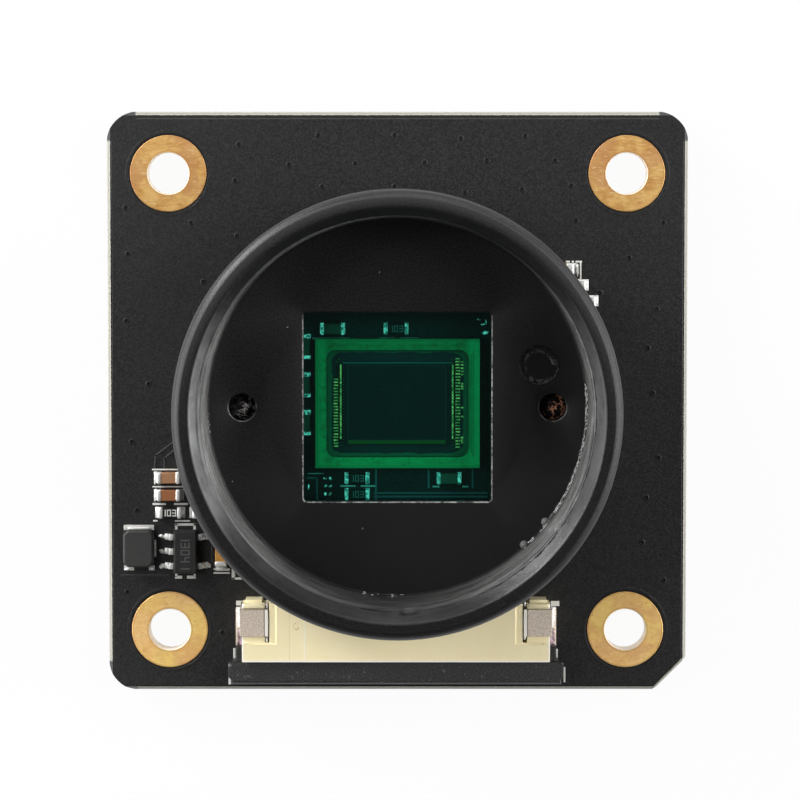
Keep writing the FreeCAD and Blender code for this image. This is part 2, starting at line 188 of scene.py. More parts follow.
class Shell:
    # Surfaces sewn from loops of points in millimetres, each face with the number of its finish.

    def __init__(self):
        self.bm = bmesh.new()

    def loop(self, points):
        return [self.bm.verts.new(point) for point in points]

    def face(self, verts, finish=0):
        made = self.bm.faces.new(verts)
        made.material_index = finish
        made.smooth = True

    def wall(self, first, second, finish=0):
        for index in range(len(first)):
            after = (index + 1) % len(first)
            self.face((first[index], first[after], second[after], second[index]), finish)

    def flat(self, *loops, finish=0):
        # A flat face whose first loop is its outline and whose other loops are holes.
        edges = []
        for loop in loops:
            for index, vert in enumerate(loop):
                pair = (vert, loop[(index + 1) % len(loop)])
                edges.append(self.bm.edges.get(pair) or self.bm.edges.new(pair))
        made = bmesh.ops.triangle_fill(self.bm, use_beauty=True, use_dissolve=False, edges=edges)
        for item in made["geom"]:
            if isinstance(item, bmesh.types.BMFace):
                item.material_index = finish
                item.smooth = False

    def stack(self, rings, finish=0, closed=True):
        # Form through rings of points, with both ends shut where closed.
        loops = [self.loop(ring) for ring in rings]
        for low, high in zip(loops, loops[1:]):
            self.wall(low, high, finish)
        if closed:
            self.face(loops[0][::-1], finish)
            self.face(loops[-1], finish)
        return loops

    def block(self, x0, x1, y0, y1, z0, z1, edge=0.0, finish=0):
        # Block whose upper and upright edges are cut back by a small chamfer.
        def outline(inset, z):
            ax, bx, ay, by = x0 + inset, x1 - inset, y0 + inset, y1 - inset
            e = max(edge, 1e-4)
            return [
                (ax + e, ay, z), (bx - e, ay, z), (bx, ay + e, z), (bx, by - e, z),
                (bx - e, by, z), (ax + e, by, z), (ax, by - e, z), (ax, ay + e, z),
            ]

        if edge <= 0:
            corners = [(x0, y0), (x1, y0), (x1, y1), (x0, y1)]
            self.stack([[(x, y, z) for x, y in corners] for z in (z0, z1)], finish)
        else:
            self.stack([outline(0, z0), outline(0, z1 - edge), outline(edge, z1)], finish)

    def spun(self, profile, centre, count, finish=0):
        # Profile of radius and height, turned round an upright line.
        rings = [diskPoints(centre, radius, z, count) for radius, z in profile]
        return self.stack(rings, finish, closed=False)

    def mesh(self, name):
        bmesh.ops.recalc_face_normals(self.bm, faces=self.bm.faces)
        bmesh.ops.scale(self.bm, vec=(mm, mm, mm), verts=self.bm.verts)
        made = bpy.data.meshes.new(name)
        self.bm.to_mesh(made)
        self.bm.free()
        return made

    def build(self, name, finishes, **rest):
        bmesh.ops.remove_doubles(self.bm, verts=self.bm.verts, dist=1e-5)
        return finished(name, self.mesh(name), finishes, **rest)


def finished(name, mesh, finishes, body="module", slot=None, replaces=(), bevel=0.0, segments=2, smooth=35):
    # Turns a mesh into a piece that rides on its body, with its edges rounded and its shading set.
    if mesh.materials:
        mesh.materials.clear()  # this also puts every face back to finish 0
    for finish in finishes:
        mesh.materials.append(finish)
    piece = bpy.data.objects.new(name, mesh)
    scene.collection.objects.link(piece)
    if bevel:
        rounding = piece.modifiers.new("rounding", "BEVEL")
        rounding.width = bevel * mm
        rounding.segments = segments
        rounding.limit_method = "ANGLE"
        rounding.angle_limit = math.radians(30)
        rounding.use_clamp_overlap = True
        applied(piece)
    piece.data.set_sharp_from_angle(angle=math.radians(smooth))
    if bevel:
        even = piece.modifiers.new("even", "WEIGHTED_NORMAL")
        even.weight = 100
        even.keep_sharp = True
        applied(piece)
    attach(piece, body)
    if replaces:
        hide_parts(*replaces)
    return piece


def applied(piece):
    # Puts what the piece's modifiers make into its mesh and takes them off.
    evaluated = piece.evaluated_get(bpy.context.evaluated_depsgraph_get())
    mesh = bpy.data.meshes.new_from_object(evaluated)
    piece.modifiers.clear()
    piece.data = mesh
    mesh.name = piece.name


def dressed(node, name, finish, bevel, **rest):
    # A copy of a node with its points joined and its edges rounded, which is shown in its place.
    mesh = frame["nodes"][node].data.copy()
    bm = bmesh.new()
    bm.from_mesh(mesh)
    bmesh.ops.remove_doubles(bm, verts=bm.verts, dist=0.0005 * mm)
    bmesh.ops.dissolve_limit(bm, angle_limit=math.radians(0.5), verts=bm.verts, edges=bm.edges)
    for face in bm.faces:
        face.smooth = True
    bm.to_mesh(mesh)
    bm.free()
    slot = [row["material_slot"] for row in frame["record"]["subparts"] if row["node"] == node][0]
    return finished(name, mesh, [finish], slot=slot, replaces=(node,), bevel=bevel, **rest)


class Pattern(Graph):
    # A Geometry Nodes tree with named inputs, used to repeat one shape.

    def __init__(self, name):
        self.tree = bpy.data.node_groups.new(name, "GeometryNodeTree")
        self.identifiers = {}
        self.values = {}
        self.inputs = self.tree.nodes.new("NodeGroupInput")
        self.tree.interface.new_socket("Geometry", in_out="INPUT", socket_type="NodeSocketGeometry")
        self.tree.interface.new_socket("Geometry", in_out="OUTPUT", socket_type="NodeSocketGeometry")

    def input(self, name, kind, value):
        made = self.tree.interface.new_socket(name, in_out="INPUT", socket_type="NodeSocket" + kind)
        self.identifiers[name] = made.identifier
        self.values[name] = value
        return Value(self, self.inputs.outputs[name])

    def points(self):
        return Value(self, self.inputs.outputs[0])

    def vector(self, x, y, z):
        return self.node("ShaderNodeCombineXYZ", None, x, y, z)

    def grown(self, geometry, name, finish, start=(), **rest):
        # Runs the tree on an object and keeps the plain mesh that it makes.
        real = self.node("GeometryNodeRealizeInstances", None, geometry)
        coated = self.node("GeometryNodeSetMaterial", None, real, Material=self.input("Finish", "Material", finish))
        self.node("NodeGroupOutput", None, coated)
        mesh = bpy.data.meshes.new(name)
        mesh.from_pydata([Vector(point[:3]) * mm for point in start], [], [])
        for attribute, index in (("turn", 3), ("grow", 4)) if start else ():
            values = [point[index] for point in start]
            mesh.attributes.new(attribute, "FLOAT", "POINT").data.foreach_set("value", values)
        holder = bpy.data.objects.new(mesh.name, mesh)
        scene.collection.objects.link(holder)
        modifier = holder.modifiers.new("pattern", "NODES")
        modifier.node_group = self.tree
        for key, value in self.values.items():
            modifier[self.identifiers[key]] = value
        applied(holder)
        plain = holder.data
        bpy.data.objects.remove(holder)
        return finished(plain.name, plain, [finish], **rest)


def repeated(name, unit, start, finish, **rest):
    # One small shape set on every point: x, y, z, then a turn about the upright and a size where they are given.
    pattern = Pattern(name)
    size = pattern.input("Size", "Float", 1.0)
    size = size * pattern.node("GeometryNodeInputNamedAttribute", {"data_type": "FLOAT"}, "grow")
    shape = pattern.input("Unit", "Object", unit)
    unitMesh = pattern.node("GeometryNodeObjectInfo", None, output=4, Object=shape)
    turn = pattern.node("GeometryNodeInputNamedAttribute", {"data_type": "FLOAT"}, "turn")
    rotation = pattern.vector(0.0, 0.0, turn)
    placed = pattern.node(
        "GeometryNodeInstanceOnPoints", None, pattern.node("GeometryNodeMeshToPoints", None, pattern.points()),
        Instance=unitMesh, Rotation=rotation, Scale=pattern.vector(size, size, size),
    )
    piece = pattern.grown(placed, name, finish, [(*point, 0.0, 1.0)[:5] for point in start], **rest)
    bpy.data.objects.remove(unit)
    return piece


def unitOf(shell, name):
    # The shape that a pattern repeats, kept out of the model itself.
    unit = bpy.data.objects.new(name, shell.mesh(name))
    scene.collection.objects.link(unit)
    return unit


view = {
    "aim": (0.165, 0.15, 1.6),
    "distance": 250.0,
    "lean": 3.7,  # degrees towards the side away from the cable
    "field": 52.53,  # width seen at the board
}


def setCamera():
    data = bpy.data.cameras.new("camera")
    data.sensor_width = 36
    data.lens = 36 * view["distance"] / view["field"]
    data.clip_start = 0.01
    data.clip_end = 10
    camera = bpy.data.objects.new("camera", data)
    lean = math.radians(view["lean"])
    back = Vector((0, math.sin(lean), math.cos(lean)))
    camera.location = (Vector(view["aim"]) + back * view["distance"]) * mm
    camera.rotation_euler = (-lean, 0, 0)
    scene.collection.objects.link(camera)
    scene.camera = camera


lamps = {  # degrees clockwise from the top, elevation, distance, width, height and brightness of each soft box
    "leftBox": (268, 15, 340, 240, 170, 5.2),
    "rightBox": (88, 15, 340, 260, 170, 7.3),
    "keyBox": (312, 19, 330, 100, 180, 16.4),
    "farBox": (5, 20, 360, 200, 160, 2.2),
    "highLeft": (285, 50, 400, 260, 200, 2.1),
    "highRight": (80, 50, 400, 260, 200, 2.1),
    "glintLeft": (292, 63, 420, 60, 60, 7.0),
    "glintRight": (68, 63, 420, 60, 60, 7.0),
    "glintTop": (0, 62, 420, 50, 50, 5.0),
}


def setLamps():
    for name, (turn, lift, away, width, height, brightness) in lamps.items():
        data = bpy.data.lights.new(name, "AREA")
        data.shape = "RECTANGLE"
        data.size = width * mm
        data.size_y = height * mm
        data.energy = brightness * math.pi * width * height * mm * mm
        lamp = bpy.data.objects.new(name, data)
        turn, lift = math.radians(turn), math.radians(lift)
        back = Vector((math.sin(turn) * math.cos(lift), math.cos(turn) * math.cos(lift), math.sin(lift)))
        lamp.location = back * away * mm
        lamp.rotation_euler = (-back).to_track_quat("-Z", "Y").to_euler()
        scene.collection.objects.link(lamp)


room = {
    "shades": [(0.0, grey(0.30)), (0.55, (0.24, 0.24, 0.245)), (0.9, grey(0.08))],  # from level to straight up
    "floorHalf": 1500.0,
    "floorHeight": -1.24,  # just under the heads of the screws
}


def setWorld():
    world = bpy.data.worlds.new("studio")
    world.use_nodes = True
    graph = Graph()
    graph.tree = world.node_tree
    graph.tree.nodes.clear()
    up = graph.node("ShaderNodeSeparateXYZ", None, graph.node("ShaderNodeTexCoord", output=0), output=2)
    shade = graph.node("ShaderNodeValToRGB", {"stops": room["shades"]}, up)
    towardsTop = graph.node("ShaderNodeSeparateXYZ", None, graph.node("ShaderNodeTexCoord", output=0), output=1)
    walls = graph.node("ShaderNodeBackground", None, Color=shade, Strength=towardsTop * 0.3 + 0.75)
    paper = graph.node("ShaderNodeBackground", None, Color=grey(1.0), Strength=1.0)
    seen = graph.node("ShaderNodeLightPath", output=0)
    mixed = graph.node("ShaderNodeMixShader", None, seen, walls, paper)
    graph.node("ShaderNodeOutputWorld", None, mixed)
    scene.world = world


def setFloor():
    finish = Finish("paper")
    white = finish.node("ShaderNodeBsdfDiffuse", None, Color=grey(0.86))
    glow = finish.node("ShaderNodeEmission", None, Color=grey(1.0), Strength=1.0)
    camera = finish.node("ShaderNodeLightPath", output=0)
    glossy = finish.node("ShaderNodeLightPath", output=3)
    through = finish.node("ShaderNodeLightPath", output=6)
    seen = camera.most(glossy).most(through) * 0.94
    paper = finish.show(finish.node("ShaderNodeMixShader", None, seen, white, glow))
    mesh = bpy.data.meshes.new("floor")
    half, low = room["floorHalf"] * mm, room["floorHeight"] * mm
    corners = [(-half, -half, low), (half, -half, low), (half, half, low), (-half, half, low)]
    mesh.from_pydata(corners, [], [(0, 1, 2, 3)])
    mesh.materials.append(paper)
    floor = bpy.data.objects.new("floor", mesh)
    scene.collection.objects.link(floor)


scene.view_settings.view_transform = "Standard"
setCamera()
setLamps()
setWorld()
setFloor()
print("camera, lamps and floor set")


board = {
    "half": 19.025,
    "corner": 2.2,
    "clip": 25.36,  # from the middle to the cut corner
    "holeReach": 15.0,  # of each mounting hole, along x and along y
}


def fromHoles(f):
    # How far it is to the middle of the nearest mounting hole.
    return f.length(abs(f.x) - board["holeReach"], abs(f.y) - board["holeReach"])


def solderMask():
    # Satin black mask over glass fibre laminate, bare where the board was parted from its panel.
    f = Finish("solderMask")
    half, radius = board["half"], board["corner"]
    ax, ay = abs(f.x), abs(f.y)
    outX, outY = (ax - (half - radius)).most(0), (ay - (half - radius)).most(0)
    inward = radius - f.length(outX, outY)  # how far inside the rounded outline
    clipped = board["clip"] - (f.x - f.y) * math.sqrt(0.5)
    ragged = f.grain(6, 3) * 0.09
    groove = ax.most(ay)
    straight = 1 - f.step(ax.least(ay), 17.05, 17.2)
    bare = f.step(groove + (ragged - 0.045), 18.8, 18.82) * straight
    bare = bare.most(1 - f.step(clipped + ragged, 0.16, 0.2))
    line = f.band(groove, 18.70, 18.775, 0.012) * straight
    ridge = f.band(groove, 18.88, 18.93, 0.015) * straight
    rule = f.band(f.y, 18.55, 18.60, 0.012) * (1 - f.step(ax, 16.9, 17.3))
    fromHole = fromHoles(f)
    gap = f.band(fromHole, 2.48, 2.62, 0.015)
    fine = f.grain(9, 3, 0.7)
    broad = f.grain(0.12, 2)
    weave = f.grain(1.4, 2, 0.5)
    mask = f.mix(broad, grey(0.006), grey(0.010))
    mask = f.mix(f.step(fine, 0.36, 0.70) * 0.9, mask, grey(0.031))
    # Painted light: the mask is made lighter towards the left, where more light falls.
    mask = f.mix(f.step(-f.x, 6, 19) * 0.08, mask, grey(0.06))
    # Painted highlight: a thin pale line along the edge of the copper under the mask, near the top.
    mask = f.mix(rule * 0.35, mask, (0.16, 0.16, 0.155))
    mask = f.mix(line.most(gap) * 0.85, mask, (0.006, 0.006, 0.005))
    glass = f.mix(f.grain(3, 4, 0.7, f.stretched(1, 1, 6)), tone(180, 178, 168), tone(160, 158, 146))
    glass = f.mix(ridge * 0.55, glass, tone(118, 117, 112))
    f.colour = f.mix(bare, mask, glass)
    height = fine * 0.006 + weave * 0.01 - ridge * 0.03 - gap * 0.03 - line * 0.02
    height = height + f.band(fromHole, 2.62, 2.8, 0.03) * 0.012
    return f.surface(bare * 0.35 + 0.33 + fine * 0.10, height, Specular_IOR_Level=0.42)


def goldPlating():
    # Soft gold, blotched with brown and crossed by short pale scratches.
    f = Finish("goldPlating")
    level = f.grain(1.3, 5, 0.75, f.stretched(0.9, 3.2, 3))
    streaks = f.step(level * 0.45 + f.grain(0.9, 4, 0.65) * 0.55, 0.36, 0.62)
    bright = f.step(f.grain(1.0, 3, 0.6, f.stretched(1.6, 14, 3)), 0.60, 0.68)
    mottle = f.grain(4, 3, 0.6)
    f.colour = f.mix(streaks, (0.49, 0.225, 0.050), (0.74, 0.465, 0.160))
    f.paint(mottle * 0.3, (0.58, 0.32, 0.075))
    stained = f.step(f.grain(0.42, 3, 0.6), 0.50, 0.58)
    f.paint(stained * 0.5, (0.50, 0.235, 0.095))
    f.paint(bright * 0.6, (0.95, 0.80, 0.48))
    fromHole = fromHoles(f)
    # Painted light: the two lower rings get a paler, brighter copy of the gold, for the light that reaches them less.
    patches = f.mix(f.step(f.grain(0.45, 2), 0.40, 0.60), (1.0, 0.65, 0.28), (1.0, 0.71, 0.22))
    patches = f.mix((1 - streaks) * 0.6, patches, (0.92, 0.50, 0.12))
    patches = f.mix(f.step(mottle, 0.60, 0.70) * 0.5, patches, (0.60, 0.28, 0.07))
    patches = f.mix(stained * 0.45, patches, (0.80, 0.42, 0.16))
    patches = f.mix(bright * 0.5, patches, (1.0, 0.88, 0.50))
    f.paint(f.step(-f.y, 0, 10) * 0.9, patches)
    f.paint((1 - f.step(fromHole, 1.37, 1.41)) * 0.95, (1.0, 0.90, 0.76))
    border = f.band(fromHole, 2.40, 2.52, 0.03).most(f.band(fromHole, 1.42, 1.50, 0.03)) * f.step(level, 0.3, 0.6)
    f.paint(border * 0.45, (0.42, 0.17, 0.05))
    height = streaks * 0.010 + mottle * 0.006
    return f.surface(0.42 + mottle * 0.12, height, 0.5, Metallic=0.3)


def mountPlastic():
    # Satin black moulding, smooth on its flats and streaked inside the bore, partly with wear and partly with painted
    # light and painted shade.
    # z is 6.5 on the floor, 14.3 where the thread ends below the cone of the mouth, and 15.1 on the rim.
    f = Finish("mountPlastic")
    fine = f.grain(9, 3, 0.7)
    flow = f.grain(0.5, 3, 0.55)
    fromAxis = f.length(f.x, f.y)
    bore = f.band(fromAxis, 12.05, 13.0, 0.06) * f.step(f.z, 6.5, 6.7)
    # Painted light on the bore's wall: only its sides and lower part, which face the lamps, are made paler.
    wall = bore * (1 - f.step(f.z, 14.1, 14.4)) * (1 - f.step(f.y, 2.5, 11.7))
    # Painted shadow: a dark band in the wall's last thread turn, on the right.
    wall = wall * (1 - f.band(f.z + f.grain(1.2, 2) * 0.5, 13.55, 14.2, 0.12) * f.step(f.x, 4, 9) * 0.85)
    # The walls of the ejector mark lie in the floor.
    floor = (1 - f.step(fromAxis, 12.0, 12.1)) * f.band(f.z, 6.3, 6.7, 0.1)
    lowerRight = f.step(f.x - f.y, -9, 7)  # lit more, so it is darker
    mouth = bore * f.band(f.z, 14.18, 14.38, 0.05) * f.step(f.y, -2, 8) * (f.grain(2.5, 4, 0.7) * 1.6)
    streaks = f.step(f.grain(1.0, 3, 0.5, f.stretched(0.25, 0.25, 0.9)), 0.28, 0.68)
    wearAndLightStreaks = f.step(f.grain(1.1, 3, 0.5, f.stretched(1, 1, 1.6)), 0.30, 0.68) * 0.3 + streaks * 0.7
    specks = f.step(f.grain(5.5, 3, 0.7), 0.68, 0.76) * (bore * 0.6 + 0.12)
    mark = f.band(f.length(f.x - 9.12, f.y - 2.69), 0.85, 1.24, 0.08)  # round the ejector mark
    grit = f.step(fine, 0.4, 0.66)
    f.colour = f.mix(grit, grey(0.003), grey(0.014))
    f.paint(floor * (grit * 0.7 + 0.3) * (1 - lowerRight), grey(0.026))
    f.paint(floor * lowerRight * 0.8, grey(0.001))
    # Streaks that are partly wear and partly painted light make the whole bore paler.
    f.paint(wearAndLightStreaks * bore * 0.8, grey(0.045))
    # Painted light: paler towards the sides of the wall, and more so on the left.
    paler = abs(f.x) * 0.011 + f.step(-f.x, 6, 12) * 0.17 + 0.07
    f.paint(wall * (wearAndLightStreaks * 0.7 + 0.3) * (fine * 1.4 + 0.3) * paler, (0.92, 0.90, 0.88))
    # Painted light: the cone of the mouth is made paler on its left.
    f.paint(bore * f.step(f.z, 14.2, 14.4) * f.step(-f.x, 10.2, 12.2) * wearAndLightStreaks * 0.17, grey(0.9))
    # Painted highlight on the top of the rim's far side.
    farRim = f.step(f.z, 15.0, 15.06) * f.step(f.y + abs(f.x) * 0.3, 2, 12)
    f.paint(farRim * f.step(fromAxis, 12.95, 13.62) * 0.03, grey(0.9))
    shaded = f.step(f.y, 1, 9) * 0.85 + f.step(-f.y, 9, 12) * 0.6
    f.paint(bore * f.step(f.z, 13.8, 14.3) * shaded, grey(0.001))
    f.paint(mouth * 0.09, grey(0.9))
    # Painted shadow: a dark line between wall and cone, on the right, where the thread's groove lies in shade.
    grooveShadow = bore * f.band(f.z + f.grain(1.2, 2) * 0.5, 14.42, 14.68, 0.05) * f.step(f.x - f.y * 0.3, 5, 10)
    f.paint(grooveShadow * 0.9, grey(0.001))
    scuffs = mark * f.step(f.grain(1.3, 4, 0.7), 0.52, 0.60)
    f.paint(specks.most(scuffs), grey(0.06))
    # Turned lines on the outer edge of the rim.
    turned = f.step(f.grain(1.0, 2, 0.5, f.stretched(0.12, 0.12, 8)), 0.42, 0.58)
    lines = f.step(fromAxis, 13.7, 13.8) * f.step(f.z, 13.9, 14.1) * f.step(f.y, -6, 2) * turned
    f.paint(lines * 0.4, grey(0.05))
    duller = f.step(f.x, 5, 12) * 0.12 + turned * f.step(f.y, -6, 2) * 0.06 + 0.08
    edge = f.step(fromAxis, 13.6, 13.7) * duller
    height = fine * 0.006 + f.grain(7, 2) * 0.004 + bore * f.grain(2.6, 3, 0.5) * 0.02
    height = height + scuffs * 0.12
    rough = 0.24 + fine * 0.12 + flow * 0.04 + bore * 0.04 + wearAndLightStreaks * bore * 0.05 + edge + grooveShadow * 0.5
    return f.surface(rough, height)


def mountFloor():
    # Matte floor of the mount, darker towards its lower right, where more light falls.
    f = Finish("mountFloor")
    fine, clouds = f.grain(8, 3, 0.7), f.grain(0.7, 2)
    lit = f.step(f.x * 0.6 - f.y, -10, 8)
    f.colour = f.mix(lit, grey(0.030), grey(0.009))
    f.paint(f.step(fine, 0.40, 0.66) * 0.7, grey(0.003))
    return f.surface(0.40 + clouds * 0.08, fine * 0.008, Specular_IOR_Level=0.22)


def screwSteel():
    f = Finish("screwSteel")
    turned = f.grain(9, 3, 0.6, f.stretched(1, 1, 8))
    stains = f.grain(1.5, 3)
    f.colour = f.mix(stains, (0.50, 0.50, 0.51), (0.64, 0.62, 0.60))
    tip = f.step(f.z, 3.0, 4.0)  # dark where it shows in the mount's floor, with painted glints
    beside = f.x + 10 - f.step(f.x, -1, 1) * 20
    shown = f.step(beside - f.y * 0.6, -0.35, 0.15) * 0.9 + 0.1
    # Painted glints: thin bright curves on the shown side of each tip, orange on the right screw and white on the
    # left.
    paintedGlints = f.band(f.grain(1.7, 3, 0.6), 0.46, 0.53, 0.015) * shown
    glintTones = f.mix(f.step(f.x, 0, 1), (0.90, 0.86, 0.84), (1.0, 0.44, 0.26))
    f.paint(tip, f.mix(paintedGlints, (0.012, 0.010, 0.010), glintTones))
    height = turned * 0.004 + tip * f.grain(2.4, 4, 0.7) * 0.5
    return f.surface(0.3 + turned * 0.16, height, 0.8, Metallic=0.8 - tip * 0.65)


def pane(name, tint, shine):
    # Thin glass: light goes straight on through its tint, and its face mirrors a little.
    f = Finish(name)
    clear = f.node("ShaderNodeBsdfTransparent", None, Color=tint)
    gloss = f.node("ShaderNodeBsdfGlossy", None, Color=grey(1.0), Roughness=0.06)
    dust = f.node("ShaderNodeBsdfDiffuse", None, Color=(0.5, 0.55, 0.52))
    specks = f.step(f.grain(2.4, 4, 0.7), 0.66, 0.76) * 0.02
    facing = f.node("ShaderNodeFresnel", None, IOR=1.45)
    glass = f.node("ShaderNodeMixShader", None, facing * shine, clear, gloss)
    return f.show(f.node("ShaderNodeMixShader", None, specks, glass, dust))


def ceramicGreen():
    # Fired ceramic of the sensor tray, smooth on its top and rougher in the hollow.
    f = Finish("ceramicGreen")
    fine = f.grain(22, 3, 0.6)
    cloudy = f.grain(2.2, 3, 0.6)
    wavy = (f.grain(0.9, 2) - 0.5) * 0.36
    high = f.step(f.z, 2.85, 2.93)
    ax, ay = abs(f.x) + wavy, abs(f.y) + wavy
    inward = 0.7 - f.length((ax - 3.62).most(0), (ay - 2.62).most(0))
    hollow = f.step(inward, -0.02, 0.06)
    rim = f.band(inward, -0.34, -0.27, 0.04) * 0.6
    upper = f.mix(cloudy, (0.006, 0.40, 0.11), (0.012, 0.56, 0.165))
    # Painted light: the top is paler on its left, right and lower parts, to make up for the lamps that the mount's
    # wall keeps off, and its dark blotches are fewer on the right. Along its outer left, upper and lower edges it
    # gets painted shade.
    upper = f.mix(f.step(-f.x, 4.3, 4.9) * 0.9, upper, (0.006, 0.86, 0.30))
    upper = f.mix(f.step(f.x, 4.3, 4.9) * 0.9, upper, (0.008, 1.0, 0.35))
    upper = f.mix(f.step(-f.y, -1, 4) * 0.5, upper, (0.004, 0.95, 0.31))
    shade = f.step(-f.x, 4.95, 5.4).most(f.step(abs(f.y), 3.85, 4.26)) * 0.45
    blotches = (1 - f.step(f.grain(1.7, 5, 0.7), 0.30, 0.62)) * (0.5 - f.step(f.x, 4.3, 4.9) * 0.4)
    upper = f.mix(shade.most(blotches), upper, (0.003, 0.10, 0.03))
    lower = f.mix(cloudy, (0.010, 0.16, 0.07), (0.020, 0.27, 0.12))
    lower = f.mix(rim, lower, (0.004, 0.05, 0.03))
    lower = f.mix(hollow, lower, f.mix(cloudy, (0.012, 0.012, 0.022), (0.020, 0.030, 0.042)))
    f.colour = f.mix(high, lower, upper)
    return f.surface(0.45 + fine * 0.15, fine * 0.006 + cloudy * 0.01)


def dieSilicon():
    # Dark silicon with the fine outline of its light sensitive part and an olive strip below that.
    f = Finish("dieSilicon")
    fine = f.grain(11, 3, 0.7)
    wide = f.band(f.x, -3.23, 3.14, 0.01)
    tall = f.band(f.y, -2.42, 2.45, 0.01)
    lineX = (f.band(f.x, -3.26, -3.22, 0.015) + f.band(f.x, 3.13, 3.17, 0.015)) * tall
    lineY = (f.band(f.y, 2.44, 2.48, 0.015) + f.band(f.y, -2.44, -2.40, 0.015)) * wide
    # The die's upper edge gets a painted highlight.
    edge = f.band(f.y, 2.60, 2.70, 0.02)
    strip = f.band(f.y, -2.66, -2.44, 0.02) * wide
    f.colour = f.mix(f.step(fine, 0.35, 0.7), (0.006, 0.006, 0.008), (0.020, 0.018, 0.022))
    f.paint(wide * tall, f.mix(f.step(fine, 0.35, 0.7), (0.008, 0.009, 0.012), (0.034, 0.026, 0.032)))
    f.paint((lineX + lineY).least(1.0) * 0.6, (0.05, 0.12, 0.13))
    f.paint(edge * 0.6, (0.08, 0.40, 0.42))
    f.paint(strip * 0.8, (0.08, 0.20, 0.03))
    return f.surface(0.30 + fine * 0.06, fine * 0.001, 0.5)


def metal(name, dark, light, metallic, rough, scale=6.0, depth=0.006):
    # A plain worked metal: two tones in patches, and a fine grain.
    f = Finish(name)
    patches = f.grain(scale, 4, 0.6)
    fine = f.grain(scale * 5, 2)
    f.colour = f.mix(patches, dark, light)
    return f.surface(rough + patches * 0.18, patches * depth + fine * depth * 0.4, Metallic=metallic)


def moulded(name, dark, light, rough, scale=4.0, depth=0.004, specular=0.5):
    # A plain moulded or fired surface: two tones in clouds, and a fine grain.
    f = Finish(name)
    clouds = f.grain(scale, 3, 0.55)
    fine = f.grain(scale * 9, 3, 0.6)
    f.colour = f.mix(clouds * 0.6 + fine * 0.4, dark, light)
    return f.surface(rough + fine * 0.12, fine * depth + clouds * depth, Specular_IOR_Level=specular)


def creamNylon():
    # Cream moulding with a brown ring where the mould was filled.
    f = Finish("creamNylon")
    clouds, fine = f.grain(0.9, 3, 0.55), f.grain(9, 3, 0.6)
    f.colour = f.mix(clouds * 0.6 + fine * 0.4, (0.94, 0.80, 0.47), (1.0, 0.91, 0.61))
    gate = f.length(f.x + 6.58, (f.y + 14.48) * 0.8)
    broken = f.step(f.grain(3.2, 3, 0.6), 0.42, 0.52)
    f.paint(f.band(gate, 0.12, 0.2, 0.03) * broken * 0.6, (0.62, 0.28, 0.12))
    f.paint(f.band(f.x, -7.06, -7.02, 0.012) * 0.3, (0.50, 0.38, 0.18))
    # Painted highlights along the front and side edges of the top, and a pale line across it at x -6.08.
    edges = f.step(-f.y, 16.70, 16.76).most(f.step(abs(f.x - connectorMiddle), 9.93, 9.98))
    edges = edges.most(f.band(f.x, -6.11, -6.05, 0.015) * 0.8) * f.step(f.z, 3.6, 3.9)
    f.paint(edges * 0.8, (1.0, 0.99, 0.94))
    height = fine * 0.003 + clouds * 0.006 - f.band(gate, 0.13, 0.19, 0.03) * 0.02
    return f.surface(0.36 + fine * 0.12, height)


def wornEdge():
    # Edge of the mount's openings, with a painted highlight in broken patches on the lower and side edges, and
    # painted shade along the top.
    f = Finish("wornEdge")
    broken = f.step(f.grain(2.2, 4, 0.7), 0.40, 0.62)
    besideHole = f.step(abs(f.x), 8.0, 8.5)
    upper = f.step(f.y - (1 - besideHole) * 5.5, -0.1, 0.5)
    left = 1 - f.step(f.x, -5.0, 5.0) * besideHole * 0.6
    # Painted highlight: pale in broken patches.
    f.colour = f.mix(broken, grey(0.05), (0.62, 0.62, 0.60))
    # Painted shade: black along the window's top edge and the screw holes' upper halves, and partly over the rest of
    # the holes.
    f.colour = f.mix((1 - upper) * left * (1 - besideHole * 0.5), grey(0.008), f.colour)
    return f.surface(0.25 + broken * 0.1, broken * 0.01, 0.6)


def brightUnderGlass(name, dark, light, glow, strength):
    # Metal under the glass whose patches glow, as painted glints of the light it catches through the glass.
    f = Finish(name)
    patches = f.grain(4.5, 4, 0.65)
    shine = f.step(patches, 0.42, 0.62)
    f.colour = f.mix(patches, dark, light)
    return f.surface(
        0.22 + patches * 0.1, patches * 0.012, Metallic=0.2,
        Emission_Color=f.mix(shine, grey(0.0), glow), Emission_Strength=strength,
    )


def coveredTrace():
    # Mask over a copper track, paler below the filter glass.
    f = Finish("coveredTrace")
    fine = f.grain(8, 3, 0.6)
    below = 1 - f.step(abs(f.x).most(abs(f.y)), 6.6, 6.8)
    f.colour = f.mix(fine, (0.024, 0.025, 0.025), (0.042, 0.043, 0.043))
    f.paint(below, f.mix(fine, (0.06, 0.10, 0.12), (0.16, 0.22, 0.26)))
    return f.surface(0.3 + fine * 0.1, fine * 0.004, 0.6)


def clipNickel():
    # Dull speckled nickel, with a painted highlight on its inner bend.
    f = Finish("clipNickel")
    patches, fine = f.grain(7, 4, 0.6), f.grain(14, 3, 0.7)
    f.colour = f.mix(f.step(fine, 0.35, 0.65), (0.52, 0.39, 0.31), (1.0, 0.93, 0.79))
    f.paint(patches * 0.4, (0.66, 0.52, 0.42))
    across = abs(f.x - connectorMiddle)
    f.paint(f.band(across, 8.56, 8.62, 0.015) * 0.8, (0.06, 0.05, 0.045))
    # Painted highlight: the inner bend is near white, and not metallic.
    f.paint((1 - f.step(across, 8.54, 8.57)) * 0.9, (1.0, 0.97, 0.88))
    f.paint(f.step(f.y, -13.44, -13.38) * 0.6, (0.06, 0.05, 0.045))
    height = patches * 0.012 + fine * 0.02
    return f.surface(0.36 + patches * 0.16, height, 0.8, Metallic=f.step(across, 8.54, 8.57) * 0.3)


